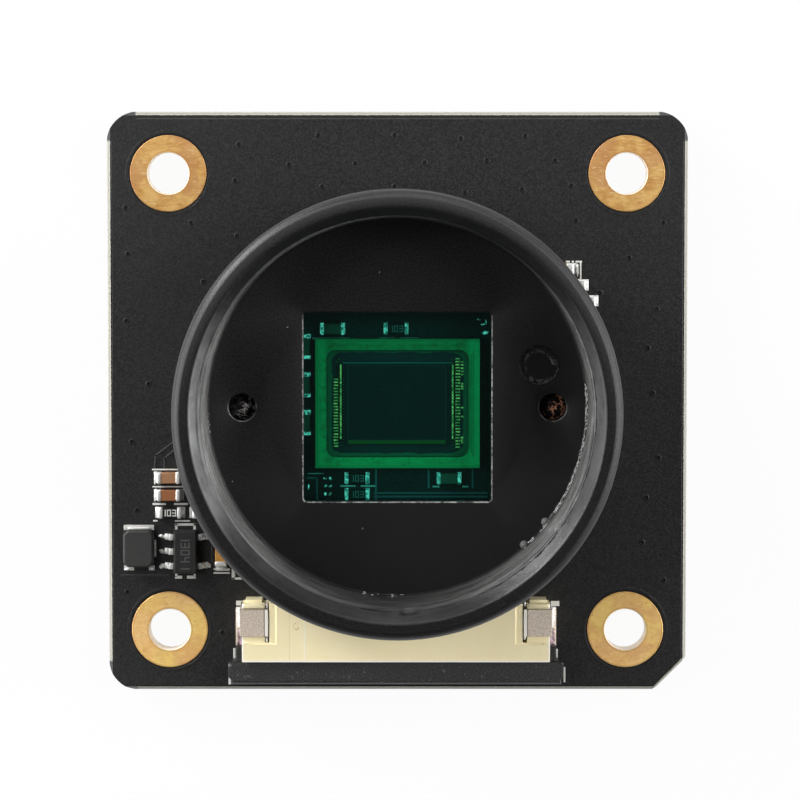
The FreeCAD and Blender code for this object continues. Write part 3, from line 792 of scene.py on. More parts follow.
def lockPlastic():
    # Dark grey moulding, scuffed, more on its ends where the scuffs are partly a painted highlight of the bevels; a
    # painted highlight line runs along its front and painted shade lies at its back.
    f = Finish("lockPlastic")
    clouds, fine = f.grain(5, 3, 0.55), f.grain(12, 3, 0.7)
    f.colour = f.mix(f.step(fine, 0.4, 0.66), grey(0.014), (0.056, 0.056, 0.055))
    scuffs = f.step(f.grain(3.0, 4, 0.75), 0.59, 0.68)
    ends = f.step(abs(f.x - connectorMiddle), 10.60, 10.85)
    # On the ends the scuffs are stronger, partly as a painted highlight on their bevels.
    f.paint(scuffs * (ends * 0.6 + 0.32), grey(0.30))
    # Painted highlight along the front edge.
    f.paint(f.band(f.y, -18.33, -18.27, 0.02) * 0.6, grey(0.20))
    # Painted shade at the back, where the lock meets the housing.
    f.paint(f.step(f.y, -16.98, -16.86) * 0.9, grey(0.002))
    return f.surface(0.34 + fine * 0.14, fine * 0.012 + clouds * 0.006)


def duskyTin():
    # Old solder, dark and pinkish in patches with a few bright spots.
    f = Finish("duskyTin")
    patches, fine = f.grain(1.9, 4, 0.65), f.grain(5, 3, 0.6)
    f.colour = f.mix(f.step(patches, 0.42, 0.56), (0.055, 0.035, 0.040), (0.50, 0.34, 0.38))
    f.paint(f.step(fine, 0.60, 0.66), (0.90, 0.86, 0.86))
    return f.surface(0.3 + fine * 0.1, patches * 0.04, 0.8, Metallic=0.2)


def inductorTin():
    # Tin that shows at the upper end and in two lower corners; the rest is in the shade of the pressed core.
    f = Finish("inductorTin")
    patches = f.grain(5, 4, 0.6)
    shown = f.step(f.y, -8.42, -8.38).most(f.step(abs(f.x + 16.85), 0.46, 0.52) * f.step(-f.y, 10.72, 10.78))
    f.colour = f.mix(patches, (0.70, 0.69, 0.66), (0.98, 0.96, 0.92))
    f.colour = f.mix(shown, grey(0.016), f.colour)
    return f.surface(0.3 + patches * 0.16, patches * 0.012, Metallic=shown * 0.5)


maskFinish = solderMask()
goldFinish = goldPlating()
mountFinish = mountPlastic()
screwFinish = screwSteel()
filterFinish = pane("filterGlass", (0.50, 0.98, 0.92), 0.9)
coverFinish = pane("coverGlass", (0.96, 0.99, 0.98), 0.4)
ceramicFinish = ceramicGreen()
dieFinish = dieSilicon()
wireFinish = metal("goldWire", (0.22, 0.20, 0.08), (0.42, 0.38, 0.18), 0.7, 0.35)
inductorFinish = moulded("pressedPowder", grey(0.018), (0.045, 0.045, 0.043), 0.5, 5, 0.012)
tinFinish = metal("brightTin", (0.80, 0.79, 0.76), (1.0, 0.99, 0.96), 0.5, 0.26, 5, 0.01)
solderFinish = metal("solder", (0.68, 0.68, 0.66), (1.0, 1.0, 0.98), 0.3, 0.2, 3, 0.02)
resinFinish = moulded("chipResin", grey(0.008), (0.022, 0.022, 0.021), 0.4, 6, 0.012, 0.4)
nylonFinish = creamNylon()
contactFinish = metal("contactTin", (0.60, 0.57, 0.50), (0.85, 0.82, 0.76), 0.85, 0.3)
nickelFinish = clipNickel()
lockFinish = lockPlastic()
inductorTinFinish = inductorTin()
coveredFinish = moulded("coveredCeramic", tone(74, 84, 66), tone(98, 108, 88), 0.4, 5, 0.004)
capacitorFinish = moulded("tanCeramic", tone(150, 106, 74), tone(182, 136, 97), 0.4, 5, 0.004)
resistorFinish = moulded("blackGlaze", grey(0.008), grey(0.018), 0.3, 6, 0.003)
inkFinish = moulded("whitePrint", (0.62, 0.62, 0.58), (0.80, 0.80, 0.76), 0.6, 12, 0.006)
darkFinish = moulded("darkHole", grey(0.003), grey(0.010), 0.5, 8, 0.002, 0.15)
traceFinish = coveredTrace()
# The ledge fingers' finish glows, as a painted glint.
fingerFinish = brightUnderGlass("ledgeGold", (0.50, 0.70, 0.12), (1.0, 1.0, 0.55), (1.0, 1.0, 0.25), 0.34)
oliveFinish = moulded("oliveResidue", (0.05, 0.10, 0.01), (0.16, 0.26, 0.05), 0.4, 8, 0.01)
edgeHighlightFinish = wornEdge()
# The pale finish of the floor's two bumps is a painted highlight.
bumpHighlightFinish = moulded("scuffedBump", grey(0.03), (0.36, 0.36, 0.35), 0.3, 3, 0.02)
floorFinish = mountFloor()
fleckFinish = moulded("paleShaving", grey(0.40), (0.95, 0.95, 0.93), 0.25, 3, 0.01)
# The finish of the metal under the filter glass glows, as a painted glint.
clearTinFinish = brightUnderGlass("clearTin", (0.30, 0.60, 0.55), (0.80, 1.0, 0.95), (0.50, 1.0, 0.85), 0.50)
ochreFinish = moulded("ochreCeramic", tone(168, 118, 48), tone(205, 152, 74), 0.4, 5, 0.004)
greyInkFinish = moulded("greyPrint", (0.060, 0.060, 0.058), (0.11, 0.11, 0.105), 0.5, 12, 0.004)
duskFinish = duskyTin()
footFinish = metal("footSolder", (0.84, 0.84, 0.83), (1.0, 1.0, 0.99), 0.1, 0.22, 2.5, 0.02)
fadedInkFinish = moulded("fadedPrint", (0.16, 0.18, 0.17), (0.30, 0.34, 0.32), 0.5, 12, 0.004)
orangeFinish = moulded("orangeCeramic", tone(142, 86, 50), tone(166, 108, 66), 0.4, 5, 0.004)
print("finishes made")


for node, finish in (
    ("circuit_board", maskFinish), ("infrared_filter", filterFinish), ("sensor_cover_glass", coverFinish),
    ("sensor_package", ceramicFinish), ("sensor_die", dieFinish),
):
    frame["nodes"][node].data.materials.clear()
    frame["nodes"][node].data.materials.append(finish)

plating = {
    "holeRadius": 1.35,
    "barrelRadius": 1.43,
    "padRadius": 2.5,
    "padHeight": 0.05,
    "segments": 96,
}


def platedHoles():
    p = plating
    top = boardTop + p["padHeight"]
    low = -p["padHeight"]
    hole, barrel, pad = p["holeRadius"], p["barrelRadius"], p["padRadius"]
    profile = [
        (hole, low + 0.03), (hole + 0.03, low), (pad - 0.04, low), (pad, low + 0.03), (pad, 0),
        (barrel, 0), (barrel, boardTop), (pad, boardTop),
        (pad, top - 0.03), (pad - 0.04, top), (hole + 0.05, top), (hole + 0.015, top - 0.015), (hole, top - 0.05),
        (hole, low + 0.03),
    ]
    unit = Shell()
    unit.spun(profile, (0, 0), p["segments"])
    bmesh.ops.remove_doubles(unit.bm, verts=unit.bm.verts, dist=1e-5)
    reach = board["holeReach"]
    places = [(sx * reach, sy * reach, 0) for sx in (-1, 1) for sy in (-1, 1)]
    return repeated(
        "mountingRings", unitOf(unit, "ring"), places, goldFinish, slot="gold_plating",
        replaces=("mounting_rings",), smooth=20,
    )


platedHoles()

vias = {
    "radius": 0.14,
    "height": 0.018,
    "places": [
        (-10.37, 16.91), (-5.18, 17.5), (-0.19, 17.5), (-7.08, 15.59), (-2.75, 15.66), (-10.63, 14.54),
        (-4.92, 14.15), (-0.19, 14.15), (-17.79, 12.77), (-13.52, 11.79), (-10.5, 10.93), (-17.66, 9.75),
        (-12.73, 7.91), (-17.79, 5.35), (-16.34, 1.21), (4.14, 17.3), (8.35, 17.43), (1.78, 15.73),
        (5.85, 15.86), (10.32, 15.86), (4.41, 13.76), (8.15, 13.95), (11.37, 14.22), (11.69, 11.92),
        (17.41, 11.79), (15.17, 9.49), (13.27, 7.19), (17.01, 6.14), (16.42, 3.58), (16.75, 0.62),
        (17.14, -3.64), (16.36, -6.27), (16.09, -9.23), (17.54, -11.72), (-17.46, -2.59), (-17.13, -7.12),
        (-17.79, -12.51), (-11.55, -15.2),
    ],
}


def coveredVias():
    # Small holes filled over by the mask, each a low lip round a dark dimple, on both faces of the board.
    r, h = vias["radius"], vias["height"]
    lip, dimple = Shell(), Shell()
    for z, up in ((boardTop, 1), (0, -1)):
        lip.spun([(r * 1.7, z - up * 0.01), (r * 1.3, z + up * h * 0.7), (r, z + up * h), (r * 0.9, z)], (0, 0), 12)
        loops = dimple.spun([(r, z - up * 0.02), (r * 0.98, z + up * h * 0.8), (r * 0.7, z + up * 0.006)], (0, 0), 10)
        dimple.face(loops[-1])
        dimple.face(loops[0][::-1])
    places = [(x, y, 0) for x, y in vias["places"]]
    repeated("viaLips", unitOf(lip, "lip"), places, maskFinish, slot="solder_mask", smooth=60)
    repeated("viaDimples", unitOf(dimple, "dimple"), places, darkFinish, slot="solder_mask", smooth=60)


coveredVias()

traces = {
    "width": 0.13,
    "height": 0.02,
    "paths": [
        [(-14.6, -2.55), (-15.87, -3.5), (-15.95, -4.25)], [(-14.45, -3.0), (-15.3, -3.7), (-15.3, -4.3)],
        [(-18.21, -11.42), (-15.1, -11.42)], [(-12.21, -9.1), (-12.21, -10.5)],
        [(-1.41, -4.45), (-1.41, -6.4)], [(-1.5, -5.98), (5.85, -5.98)], [(-1.5, -6.22), (5.85, -6.22)],
        [(-5.9, -5.0), (-5.3, -5.0), (-5.3, -6.4)], [(2.05, -4.5), (2.05, -5.6)], [(4.95, -4.5), (4.95, -5.6)],
    ],
}


def coveredTraces():
    # Copper tracks that stand up a little under the mask.
    shell = Shell()
    half, low, top = traces["width"] / 2, boardTop - 0.01, boardTop + traces["height"]
    for path in traces["paths"]:
        for (ax, ay), (bx, by) in zip(path, path[1:]):
            along = Vector((bx - ax, by - ay, 0)).normalized() * half
            side = Vector((-along.y, along.x, 0))
            a, b = Vector((ax, ay, 0)) - along, Vector((bx, by, 0)) + along
            rings = []
            for inset, z in ((1.0, low), (1.0, top - 0.01), (0.7, top)):
                rings.append([(*(p + side * s * inset).xy, z) for p, s in ((a, -1), (b, -1), (b, 1), (a, 1))])
            shell.stack(rings)
    return shell.build("coveredTraces", [traceFinish], slot="solder_mask")


coveredTraces()

printed = {
    "thickness": 0.02,
    "bars": [  # x from, x to, y from, y to
        (-16.15, -14.35, -4.48, -4.38), (-16.11, -14.04, -5.61, -5.52), (-16.11, -15.23, -6.77, -6.64),
        (-14.7, -13.78, -6.77, -6.64), (-16.08, -15.78, -7.87, -7.77), (-14.64, -13.65, -7.87, -7.77),
        (-16.01, -15.88, -10.19, -9.06), (-14.64, -13.26, -8.14, -7.98), (-14.64, -14.47, -8.4, -7.98),
        (-13.43, -13.26, -8.4, -7.98), (-14.64, -14.18, -11.64, -11.44), (-14.64, -14.5, -11.55, -11.26),
        (-13.87, -13.28, -11.64, -11.44), (-13.42, -13.28, -11.55, -11.26), (-16.01, -15.91, -5.42, -4.6),
        (-16.01, -15.91, -6.53, -5.75), (-12.11, -11.04, -11.05, -10.95), (-12.11, -11.04, -11.31, -11.21),
        (-10.92, -10.7, -11.7, -10.8), (-10.92, -10.24, -11.7, -11.56),
        (11.02, 11.3, 9.17, 9.29), (11.41, 11.56, 9.17, 9.29), (11.65, 12.09, 9.17, 9.29),
        (-10.63, -10.3, -13.41, -13.1), (10.1, 10.66, -13.45, -13.12),
        (-10.3, -8.7, -13.18, -13.10), (-11.14, -11.0, -18.66, -18.2),
        (11.95, 12.05, 8.08, 9.2), (11.55, 11.95, 7.98, 8.1), (-12.0, -11.05, -11.12, -11.02),
        (-10.83, -10.68, -17.12, -16.24), (10.42, 10.57, -16.87, -16.3), (10.95, 11.07, -18.5, -17.5),
        (-5.57, -3.08, 4.14, 4.25), (-1.18, -0.19, 4.14, 4.25), (0.17, 1.36, 4.14, 4.25),
        (-3.76, -2.75, -5.57, -5.46), (-2.42, -1.39, -5.57, -5.46), (2.3, 2.76, -5.61, -5.5),
        (4.26, 4.66, -5.61, -5.5), (-5.9, -4.85, -4.73, -4.66),
    ],
}


def printedBars():
    shell = Shell()
    top = boardTop + printed["thickness"]
    for x0, x1, y0, y1 in printed["bars"]:
        shell.block(x0, x1, y0, y1, boardTop - 0.01, top, 0.012)
    return shell.build("printedMarks", [inkFinish], slot="solder_mask")


printedBars()

print("board dressed")


mount = {
    "columns": 320,
    "crestRadius": 12.28,
    "rootRadius": 12.53,
    "flank": 0.25,
    "pitch": 0.794,
    "crestAt": 14.76,  # height of a crest at the far side, compass angle 0
    "rowsPerTurn": 11,
    "leadRadius": 13.02,
    "leadDepth": 0.8,
    "rimEdge": 13.62,
    "ringRadius": 14.08,
    "rimTop": 15.096,
    "floorTop": 6.5,
    "floorBottom": 4.9,
    "fillet": 0.2,
    "window": (12.1, 12.2, 0.22),
    "pocket": (13.5, 13.6, 5.6),
    "room": (15.6, 16.8),
    "baseRadius": 12.3,
    "baseFlat": 11.0,
    "pilotRadius": 0.875,
    "pilots": ((-10.0, 0.0), (10.0, 0.0)),
    "markPlace": (9.12, 2.69),
    "markRadius": 1.2,
    "markDepth": 0.12,
    "bumps": ((9.55, -7.42), (8.18, -8.90)),
    "nick": (0.66, 0.34, 12.5, 14.5),  # middle, half width, lower and upper end
    "plainFrom": 146.0,  # degrees clockwise from the top, where the thread stops and starts again
    "plainTo": 216.0,
}


def threadRadius(angle, z):
    # Inner radius of the ring at a compass angle, with a helical groove cut into the crest wall.
    m = mount
    degrees = math.degrees(angle) % 360
    mouth = m["rimTop"] - m["leadDepth"]
    wall = m["crestRadius"]
    if z > mouth:
        wall += (m["leadRadius"] - m["crestRadius"]) * (z - mouth) / m["leadDepth"]
    phase = ((z - m["crestAt"]) / m["pitch"] + degrees / 360) % 1.0
    away = abs(phase - 0.5) * m["pitch"]
    depth = (m["rootRadius"] - m["crestRadius"]) * max(0.0, min(1.0, 1 - (away - 0.05) / m["flank"]))
    if m["plainFrom"] < degrees < m["plainTo"]:
        depth *= max(0.0, 1 - (degrees - m["plainFrom"]) / 14, 1 - (m["plainTo"] - degrees) / 22)
    if z < m["floorTop"] + 0.9:
        depth = 0.0
    rough = 0.014 * noise.noise(Vector((angle * 9, z * 2.2, 3.1)))
    if 95 < degrees < 146:
        rough += 0.03 * max(0.0, noise.noise(Vector((angle * 40, z * 3, 1.7))))
    return max(wall, m["crestRadius"] + depth) + rough


def ringPoints(radius, z):
    # Points clockwise from the top, as the front view shows them.
    count = mount["columns"]
    angles = [2 * math.pi * i / count for i in range(count)]
    found = [radius(a) if callable(radius) else radius for a in angles]
    return [(r * math.sin(a), r * math.cos(a), z) for r, a in zip(found, angles)]


def roundedSquare(width, height, radius, z, steps=6):
    points = []
    for sx, sy, start in ((1, 1, 0), (-1, 1, 90), (-1, -1, 180), (1, -1, 270)):
        cx, cy = sx * (width / 2 - radius), sy * (height / 2 - radius)
        for step in range(steps + 1):
            a = math.radians(start + 90 * step / steps)
            points.append((cx + radius * math.cos(a), cy + radius * math.sin(a), z))
    return points


def basePoints(radius, flat, z, inset=0.0):
    # Outline of the round base with its two flats.
    points = []
    reach = math.asin((flat - inset) / (radius - inset))
    for side in (0, math.pi):
        for step in range(41):
            a = side - reach + 2 * reach * step / 40
            points.append(((radius - inset) * math.cos(a), (radius - inset) * math.sin(a), z))
    return points


def lensMount():
    m = mount
    shell = Shell()
    top, mouth = m["rimTop"], m["rimTop"] - m["leadDepth"]

    # The ring, from the floor up its threaded wall, over the rim and down the outside.
    floorZ, crest, fillet = m["floorTop"], m["crestRadius"], m["fillet"]

    def ragged(amount):
        def radius(angle):
            degrees = math.degrees(angle)
            rough = 0.02 + (0.10 if 78 < degrees < 138 or 181 < degrees < 190 else 0.0)
            return amount + rough * noise.noise(Vector((angle * 34, amount, 0.4)))
        return radius

    rows = [(ragged(crest - fillet), floorZ), (ragged(crest - fillet * 0.42), floorZ + fillet * 0.16)]
    rows.append((lambda a: threadRadius(a, floorZ + fillet), floorZ + fillet))
    count = int((mouth - floorZ - fillet) / m["pitch"] * m["rowsPerTurn"])
    for row in range(1, count):
        z = floorZ + fillet + (mouth - floorZ - fillet) * row / count
        rows.append((lambda a, z=z: threadRadius(a, z), z))
    for row in range(13):
        z = mouth + m["leadDepth"] * row / 12
        rows.append((lambda a, z=z: threadRadius(a, z), z))
    rows[-1] = (m["leadRadius"], top - 0.03)
    for reach in (m["leadRadius"] + 0.04, m["leadRadius"] + 0.07, m["rimEdge"] - 0.07, m["rimEdge"] - 0.03):
        rows.append((reach, top))
    across = m["ringRadius"] - m["rimEdge"]
    for step in range(9):  # the outer edge of the rim, cut back and a little rounded
        t = 0.04 + 0.92 * step / 8
        bulge = 0.045 * math.sin(math.pi * t)
        rows.append((m["rimEdge"] + across * t + bulge, top - across * t + bulge))
    rows += [(m["ringRadius"], z) for z in (top - across - 0.03, 10.0, m["floorBottom"] + 0.08)]
    rows.append((m["ringRadius"] - 0.08, m["floorBottom"]))
    loops = [shell.loop(ringPoints(radius, z)) for radius, z in rows]
    for low, high in zip(loops, loops[1:]):
        shell.wall(low, high)
    pressNick(loops)

    # The floor with its window, the two screw holes and the round ejector mark.
    w, h, corner = m["window"]
    edge = 0.08
    windowTop = shell.loop(roundedSquare(w + 2 * edge, h + 2 * edge, corner + edge, floorZ))
    windowEdge = shell.loop(roundedSquare(w, h, corner, floorZ - 0.035))
    windowLow = shell.loop(roundedSquare(w, h, corner, m["pocket"][2]))
    shell.wall(windowTop, windowEdge, 1)
    shell.wall(windowEdge, windowLow)
    holes = [windowTop]
    pilotLows = []
    for place in m["pilots"]:
        rims = [(0.07, floorZ), (0.01, floorZ - 0.03), (0.0, boardTop)]
        drilled = [shell.loop(diskPoints(place, m["pilotRadius"] + out, z)) for out, z in rims]
        shell.wall(*drilled[:2], 1)
        shell.wall(*drilled[1:])
        holes.append(drilled[0])
        pilotLows.append(drilled[-1])
    steps = [(0.10, 0.0), (0.05, 0.05), (0.0, 0.04), (-0.03, -m["markDepth"])]  # a raised lip, then down
    marks = [shell.loop(diskPoints(m["markPlace"], m["markRadius"] + out, floorZ + up)) for out, up in steps]
    for upper, lower in zip(marks, marks[1:]):
        shell.wall(upper, lower)
    shell.face(marks[-1])
    holes.append(marks[0])
    shell.flat(loops[0], *holes, finish=3)

    # The base under the floor, its room and the pocket that holds the filter.
    low = m["floorBottom"]
    levels = ((low, 0.0), (boardTop + 0.06, 0.0), (boardTop, 0.06))
    baseTop, baseEdge, baseLow = (shell.loop(basePoints(m["baseRadius"], m["baseFlat"], *level)) for level in levels)
    shell.flat(loops[-1], baseTop)
    shell.wall(baseTop, baseEdge)
    shell.wall(baseEdge, baseLow)
    roomLow = shell.loop(roundedSquare(*m["room"], 0.3, boardTop))
    roomTop = shell.loop(roundedSquare(*m["room"], 0.3, low))
    pocketLow = shell.loop(roundedSquare(*m["pocket"][:2], 0.1, low))
    pocketTop = shell.loop(roundedSquare(*m["pocket"][:2], 0.1, m["pocket"][2]))
    shell.flat(baseLow, roomLow, *pilotLows)
    shell.wall(roomLow, roomTop)
    shell.flat(roomTop, pocketLow)
    shell.wall(pocketLow, pocketTop)
    shell.flat(pocketTop, windowLow)

    # Two small bumps that the mould left on the floor, pale as a painted highlight.
    for x, y in m["bumps"]:
        bump = [(0.30, floorZ - 0.03), (0.26, floorZ + 0.06), (0.16, floorZ + 0.16), (0.04, floorZ + 0.20)]
        rings = shell.spun(bump, (x, y), 16, 2)
        shell.face(rings[0][::-1])
        shell.face(rings[-1], 2)
    finishes = [mountFinish, edgeHighlightFinish, bumpHighlightFinish, floorFinish]
    return shell.build("lensMount", finishes, slot="mount_plastic", replaces=("lens_mount",), smooth=42)


def pressNick(loops):
    # A small upright dent in the lower side of the bore.
    middle, half, low, high = mount["nick"]
    for loop in loops:
        for vert in loop:
            x, y, z = vert.co
            if y < 0 and low < z < high and math.hypot(x, y) < 13.1:
                inside = min(1.0, (half + 0.08 - abs(x - middle)) / 0.08, (z - low) / 0.1, (high - z) / 0.1)
                if inside > 0:
                    vert.co.y -= 0.15 * inside


lensMount()

flecks = {
    "seed": 7,
    "size": (0.09, 0.030),  # half length and half width
    "places": [(-10.64, -4.80, 6.5), (-2.25, -7.84, 6.5), (-1.15, 8.70, 6.5), (-7.08, 5.16, 6.5), (9.3, -7.9, 6.5)],
    "arcs": [  # compass angles and count
        (83, 104, 80), (104, 124, 120), (127, 131, 26), (134, 138, 28), (178, 191, 14), (262, 268, 6),
    ],
}


def mountFlecks():
    # Light shavings on the floor of the mount and where the floor meets the bore.
    chance = random.Random(flecks["seed"])
    unit = Shell()
    long, wide = flecks["size"]
    loops = unit.spun([(wide * 0.8, -0.01), (wide, wide * 0.6), (wide * 0.5, wide * 1.2)], (0, 0), 6)
    bmesh.ops.scale(unit.bm, vec=(long / wide, 1, 1), verts=unit.bm.verts)
    unit.face(loops[0][::-1])
    unit.face(loops[-1])
    spots = [(*place, chance.uniform(0, 3), chance.uniform(0.6, 1.1)) for place in flecks["places"]]
    for low, high, count in flecks["arcs"]:
        for _ in range(count):
            angle = math.radians(chance.uniform(low, high))
            up = chance.random() ** 2 * 0.16
            reach = 12.14 + min(up, 0.1)
            grow = chance.uniform(0.5, 1.3)
            spots.append((reach * math.sin(angle), reach * math.cos(angle), mount["floorTop"] + up, -angle, grow))
    repeated("mountFlecks", unitOf(unit, "fleck"), spots, fleckFinish, slot="mount_plastic", smooth=80)


mountFlecks()
print("lens mount made")


wires = {
    "pitch": 0.2,
    "radius": 0.015,
    "dieReach": 3.5,  # from the middle to the bond on the die
    "ledgeReach": 4.12,
    "dieTop": 2.57,
    "ledgeTop": 2.45,
    "rise": 0.2,
    "sides": {"left": (-1, 23, 0.55), "right": (1, 30, 0.05)},  # side, count and drop of its middle
}


def bondWires():
    # One arched wire, repeated down each side of the die.
    w = wires
    pattern = Pattern("bondWires")
    pitch = pattern.input("Pitch", "Float", w["pitch"] * mm)
    thick = pattern.input("Radius", "Float", w["radius"] * mm)
    start = (w["dieReach"] * mm, 0, (w["dieTop"] + 0.02) * mm)
    middle = ((w["dieReach"] + 0.2) * mm, 0, (w["dieTop"] + w["rise"]) * mm)
    finish = (w["ledgeReach"] * mm, 0, (w["ledgeTop"] + 0.02) * mm)
    curve = pattern.node("GeometryNodeCurveQuadraticBezier", None, 7, start, middle, finish)
    ring = pattern.node("GeometryNodeCurvePrimitiveCircle", {"mode": "RADIUS"}, Resolution=5, Radius=thick)
    wire = pattern.node("GeometryNodeCurveToMesh", None, Curve=curve, Profile_Curve=ring, Fill_Caps=True)
    rows = pattern.node("GeometryNodeJoinGeometry")
    for side, count, drop in w["sides"].values():
        first = pattern.vector(0.0, pitch * (-(count - 1) / 2) - drop * mm, 0.0)
        points = pattern.node(
            "GeometryNodeMeshLine", {"mode": "OFFSET"}, Count=count, Start_Location=first,
            Offset=pattern.vector(0.0, pitch, 0.0),
        )
        turn = 0.0 if side > 0 else math.pi
        row = pattern.node("GeometryNodeInstanceOnPoints", None, points, Instance=wire, Rotation=(0, 0, turn))
        pattern.join(rows.socket.node.inputs[0], row)
    return pattern.grown(rows, "bondWires", wireFinish, slot="bond_metal", replaces=("bond_wires",))


bondWires()

ledge = {
    "seed": 3,
    "finger": (0.30, 0.082),
    "combs": [(-4.03, 23, -0.63), (3.95, 30, 0.02)],  # x, count and middle y
    "dots": [(4.23, y) for y in (2.71, 2.5, 2.29, 2.08, 1.87, 1.27, 1.11, 0.95, -0.30, -0.89, -2.26, -2.42, -2.58)],
    "bars": [(-3.76, -3.66, -2.32, 2.52), (3.56, 3.66, -2.32, 2.52)],
    "residue": (-4.25, -3.78, 1.07, 2.9, 46),
}


def ledgeFingers():
    # Contact fingers and small pads on the ledge, and the guard bars along the die, all bright with a painted glow.
    long, wide = ledge["finger"]
    z = wires["ledgeTop"]
    finger = Shell()
    finger.block(-long / 2, long / 2, -wide / 2, wide / 2, z - 0.01, z + 0.02, 0.012)
    places = []
    for x, count, middle in ledge["combs"]:
        places += [(x, middle + (i - (count - 1) / 2) * wires["pitch"], 0) for i in range(count)]
    repeated("ledgeFingers", unitOf(finger, "finger"), places, fingerFinish, slot="bond_metal")
    pads = Shell()
    for x, y in ledge["dots"]:
        pads.block(x - 0.08, x + 0.08, y - 0.055, y + 0.055, z - 0.01, z + 0.02, 0.012)
    for x0, x1, y0, y1 in ledge["bars"]:
        low = wires["dieTop"] if abs(x0) < 3.6 else z
        pads.block(x0, x1, y0, y1, low - 0.01, wires["dieTop"] + 0.015, 0.01)
    pads.build("ledgePads", [fingerFinish], slot="bond_metal")
    chance = random.Random(ledge["seed"])
    x0, x1, y0, y1, count = ledge["residue"]
    crumb = Shell()
    loops = crumb.spun([(0.05, z - 0.01), (0.06, z + 0.012), (0.02, z + 0.02)], (0, 0), 5)
    crumb.face(loops[0][::-1])
    crumb.face(loops[-1])
    spots = []
    for _ in range(count):
        x, y = chance.uniform(x0, x1), chance.uniform(y0, y1)
        spots.append((x, y, 0, chance.uniform(0, 6), chance.uniform(0.6, 1.0)))
    repeated("ledgeResidue", unitOf(crumb, "crumb"), spots, oliveFinish, slot="bond_metal")


ledgeFingers()
print("sensor dressed")


chips = {
    "length": 1.56,
    "width": 0.76,
    "ends": (0.34, 0.22),  # length of the metal cap, and how far the solder reaches out
    "coveredEnds": (0.26, 0.06),
    "windowReach": 6.3,  # parts nearer the middle than this lie under the filter glass
    "capacitorHeight": 0.78,
    "resistorHeight": 0.45,
    "longEnds": ("capacitor_04", "capacitor_05", "capacitor_06"),
}


def chipPlace(node):
    low, high = (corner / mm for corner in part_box(node))
    return (low.x + high.x) / 2, (low.y + high.y) / 2, high.x - low.x < high.y - low.y


def chipShapes(bodies, ends, joints, node, height, covered):
    # Ceramic body, a rounded metal cap on each end and the solder that climbs it.
    x, y, upright = chipPlace(node)
    c = chips
    half, side = c["length"] / 2, c["width"] / 2
    cap, reach = c["coveredEnds"] if covered else c["ends"]
    if node in c["longEnds"]:
        cap += 0.18

    def put(shell, x0, x1, y0, y1, z0, z1, edge):
        if upright:
            x0, x1, y0, y1 = y0, y1, x0, x1
        shell.block(x + x0, x + x1, y + y0, y + y1, z0, z1, edge)

    top = boardTop + height
    put(bodies, -half + 0.06, half - 0.06, -side + 0.03, side - 0.03, boardTop + 0.03, top - 0.03, 0.04)
    for sign in (-1, 1):
        outer, inner = sign * half, sign * (half - cap)
        put(ends, min(outer, inner), max(outer, inner), -side, side, boardTop + 0.01, top, 0.07)
        solderRamp(joints, x, y, upright, sign, half, side, height, reach)


def solderRamp(shell, x, y, upright, sign, half, side, height, reach):
    # Concave fillet of solder from the pad up the end of a chip part.
    rings = []
    for step in range(5):
        t = step / 4
        out = half - 0.02 + reach * t
        z = boardTop + 0.015 + (height * 0.62) * (1 - t) ** 2.2
        w = side * (1.02 - 0.06 * t)
        ring = [(out, -w, boardTop - 0.005), (out, -w * 0.9, z), (out, w * 0.9, z), (out, w, boardTop - 0.005)]
        ring = [(sign * a, b, c) for a, b, c in ring]
        if upright:
            ring = [(b, a, c) for a, b, c in ring]
        rings.append([(x + a, y + b, c) for a, b, c in ring])
    shell.stack(rings)


def chipParts():
    # The metal ends and solder of the parts under the filter glass get a finish with a painted glow, for the light
    # they catch from the lens side.
    joints, ends = Shell(), Shell()
    clearJoints, clearEnds = Shell(), Shell()
    finishes = {
        "capacitor": capacitorFinish, "resistor": resistorFinish,
        "coveredcapacitor": coveredFinish, "coveredresistor": resistorFinish,
        "capacitor_02": orangeFinish, "capacitor_03": ochreFinish,
    }
    groups = {}
    for node in sorted(frame["nodes"]):
        kind = node.split("_")[0]
        if kind in ("capacitor", "resistor"):
            x, y, _ = chipPlace(node)
            covered = max(abs(x), abs(y)) < chips["windowReach"]
            group = node if node in finishes else covered * "covered" + kind
            groups.setdefault((group, kind, covered), []).append(node)
    for (group, kind, covered), nodes in groups.items():
        bodies = Shell()
        shells = (clearEnds, clearJoints) if covered else (ends, joints)
        for node in nodes:
            chipShapes(bodies, *shells, node, chips[kind + "Height"], covered)
        bodies.build(group + "Bodies", [finishes[group]], slot=kind + "_ceramic", replaces=nodes)
    ends.build("chipEnds", [tinFinish], slot="tinned_metal", bevel=0.02)
    joints.build("chipSolder", [solderFinish], slot="tinned_metal", smooth=70)
    clearEnds.build("windowEnds", [clearTinFinish], slot="tinned_metal", bevel=0.02)
    clearJoints.build("windowSolder", [clearTinFinish], slot="tinned_metal", smooth=70)


chipParts()
dressed("inductor_core", "inductorCore", inductorFinish, 0.06, segments=3)
dressed("inductor_terminals", "inductorTerminals", inductorTinFinish, 0.025)
dressed("regulator_body", "regulatorBody", resinFinish, 0.03)
dressed("regulator_leads", "regulatorLeads", tinFinish, 0.02)
dressed("mount_screws", "mountScrews", screwFinish, 0.05, smooth=30)

numbers = {  # segments of each digit: t, m and f lie across it, a to d stand at its sides
    "segments": {"0": "tfabcd", "1": "bd", "3": "tmfbd", "4": "mabd"},
    "stroke": 0.14,
    "marks": [  # digits, middle x and y, height above the origin, size, quarter turns, finish
        ("103", -15.01, -7.26, 2.05, 0.44, 0, "white"),
        ("103", -0.09, 4.85, 2.05, 0.42, 0, "dim"), ("103", -2.66, -4.98, 2.05, 0.42, 0, "dim"),
        ("103", -2.66, -6.03, 2.05, 0.42, 0, "dim"), ("13041", -13.92, -9.8, 2.70, 0.60, 1, "grey"),
    ],
}


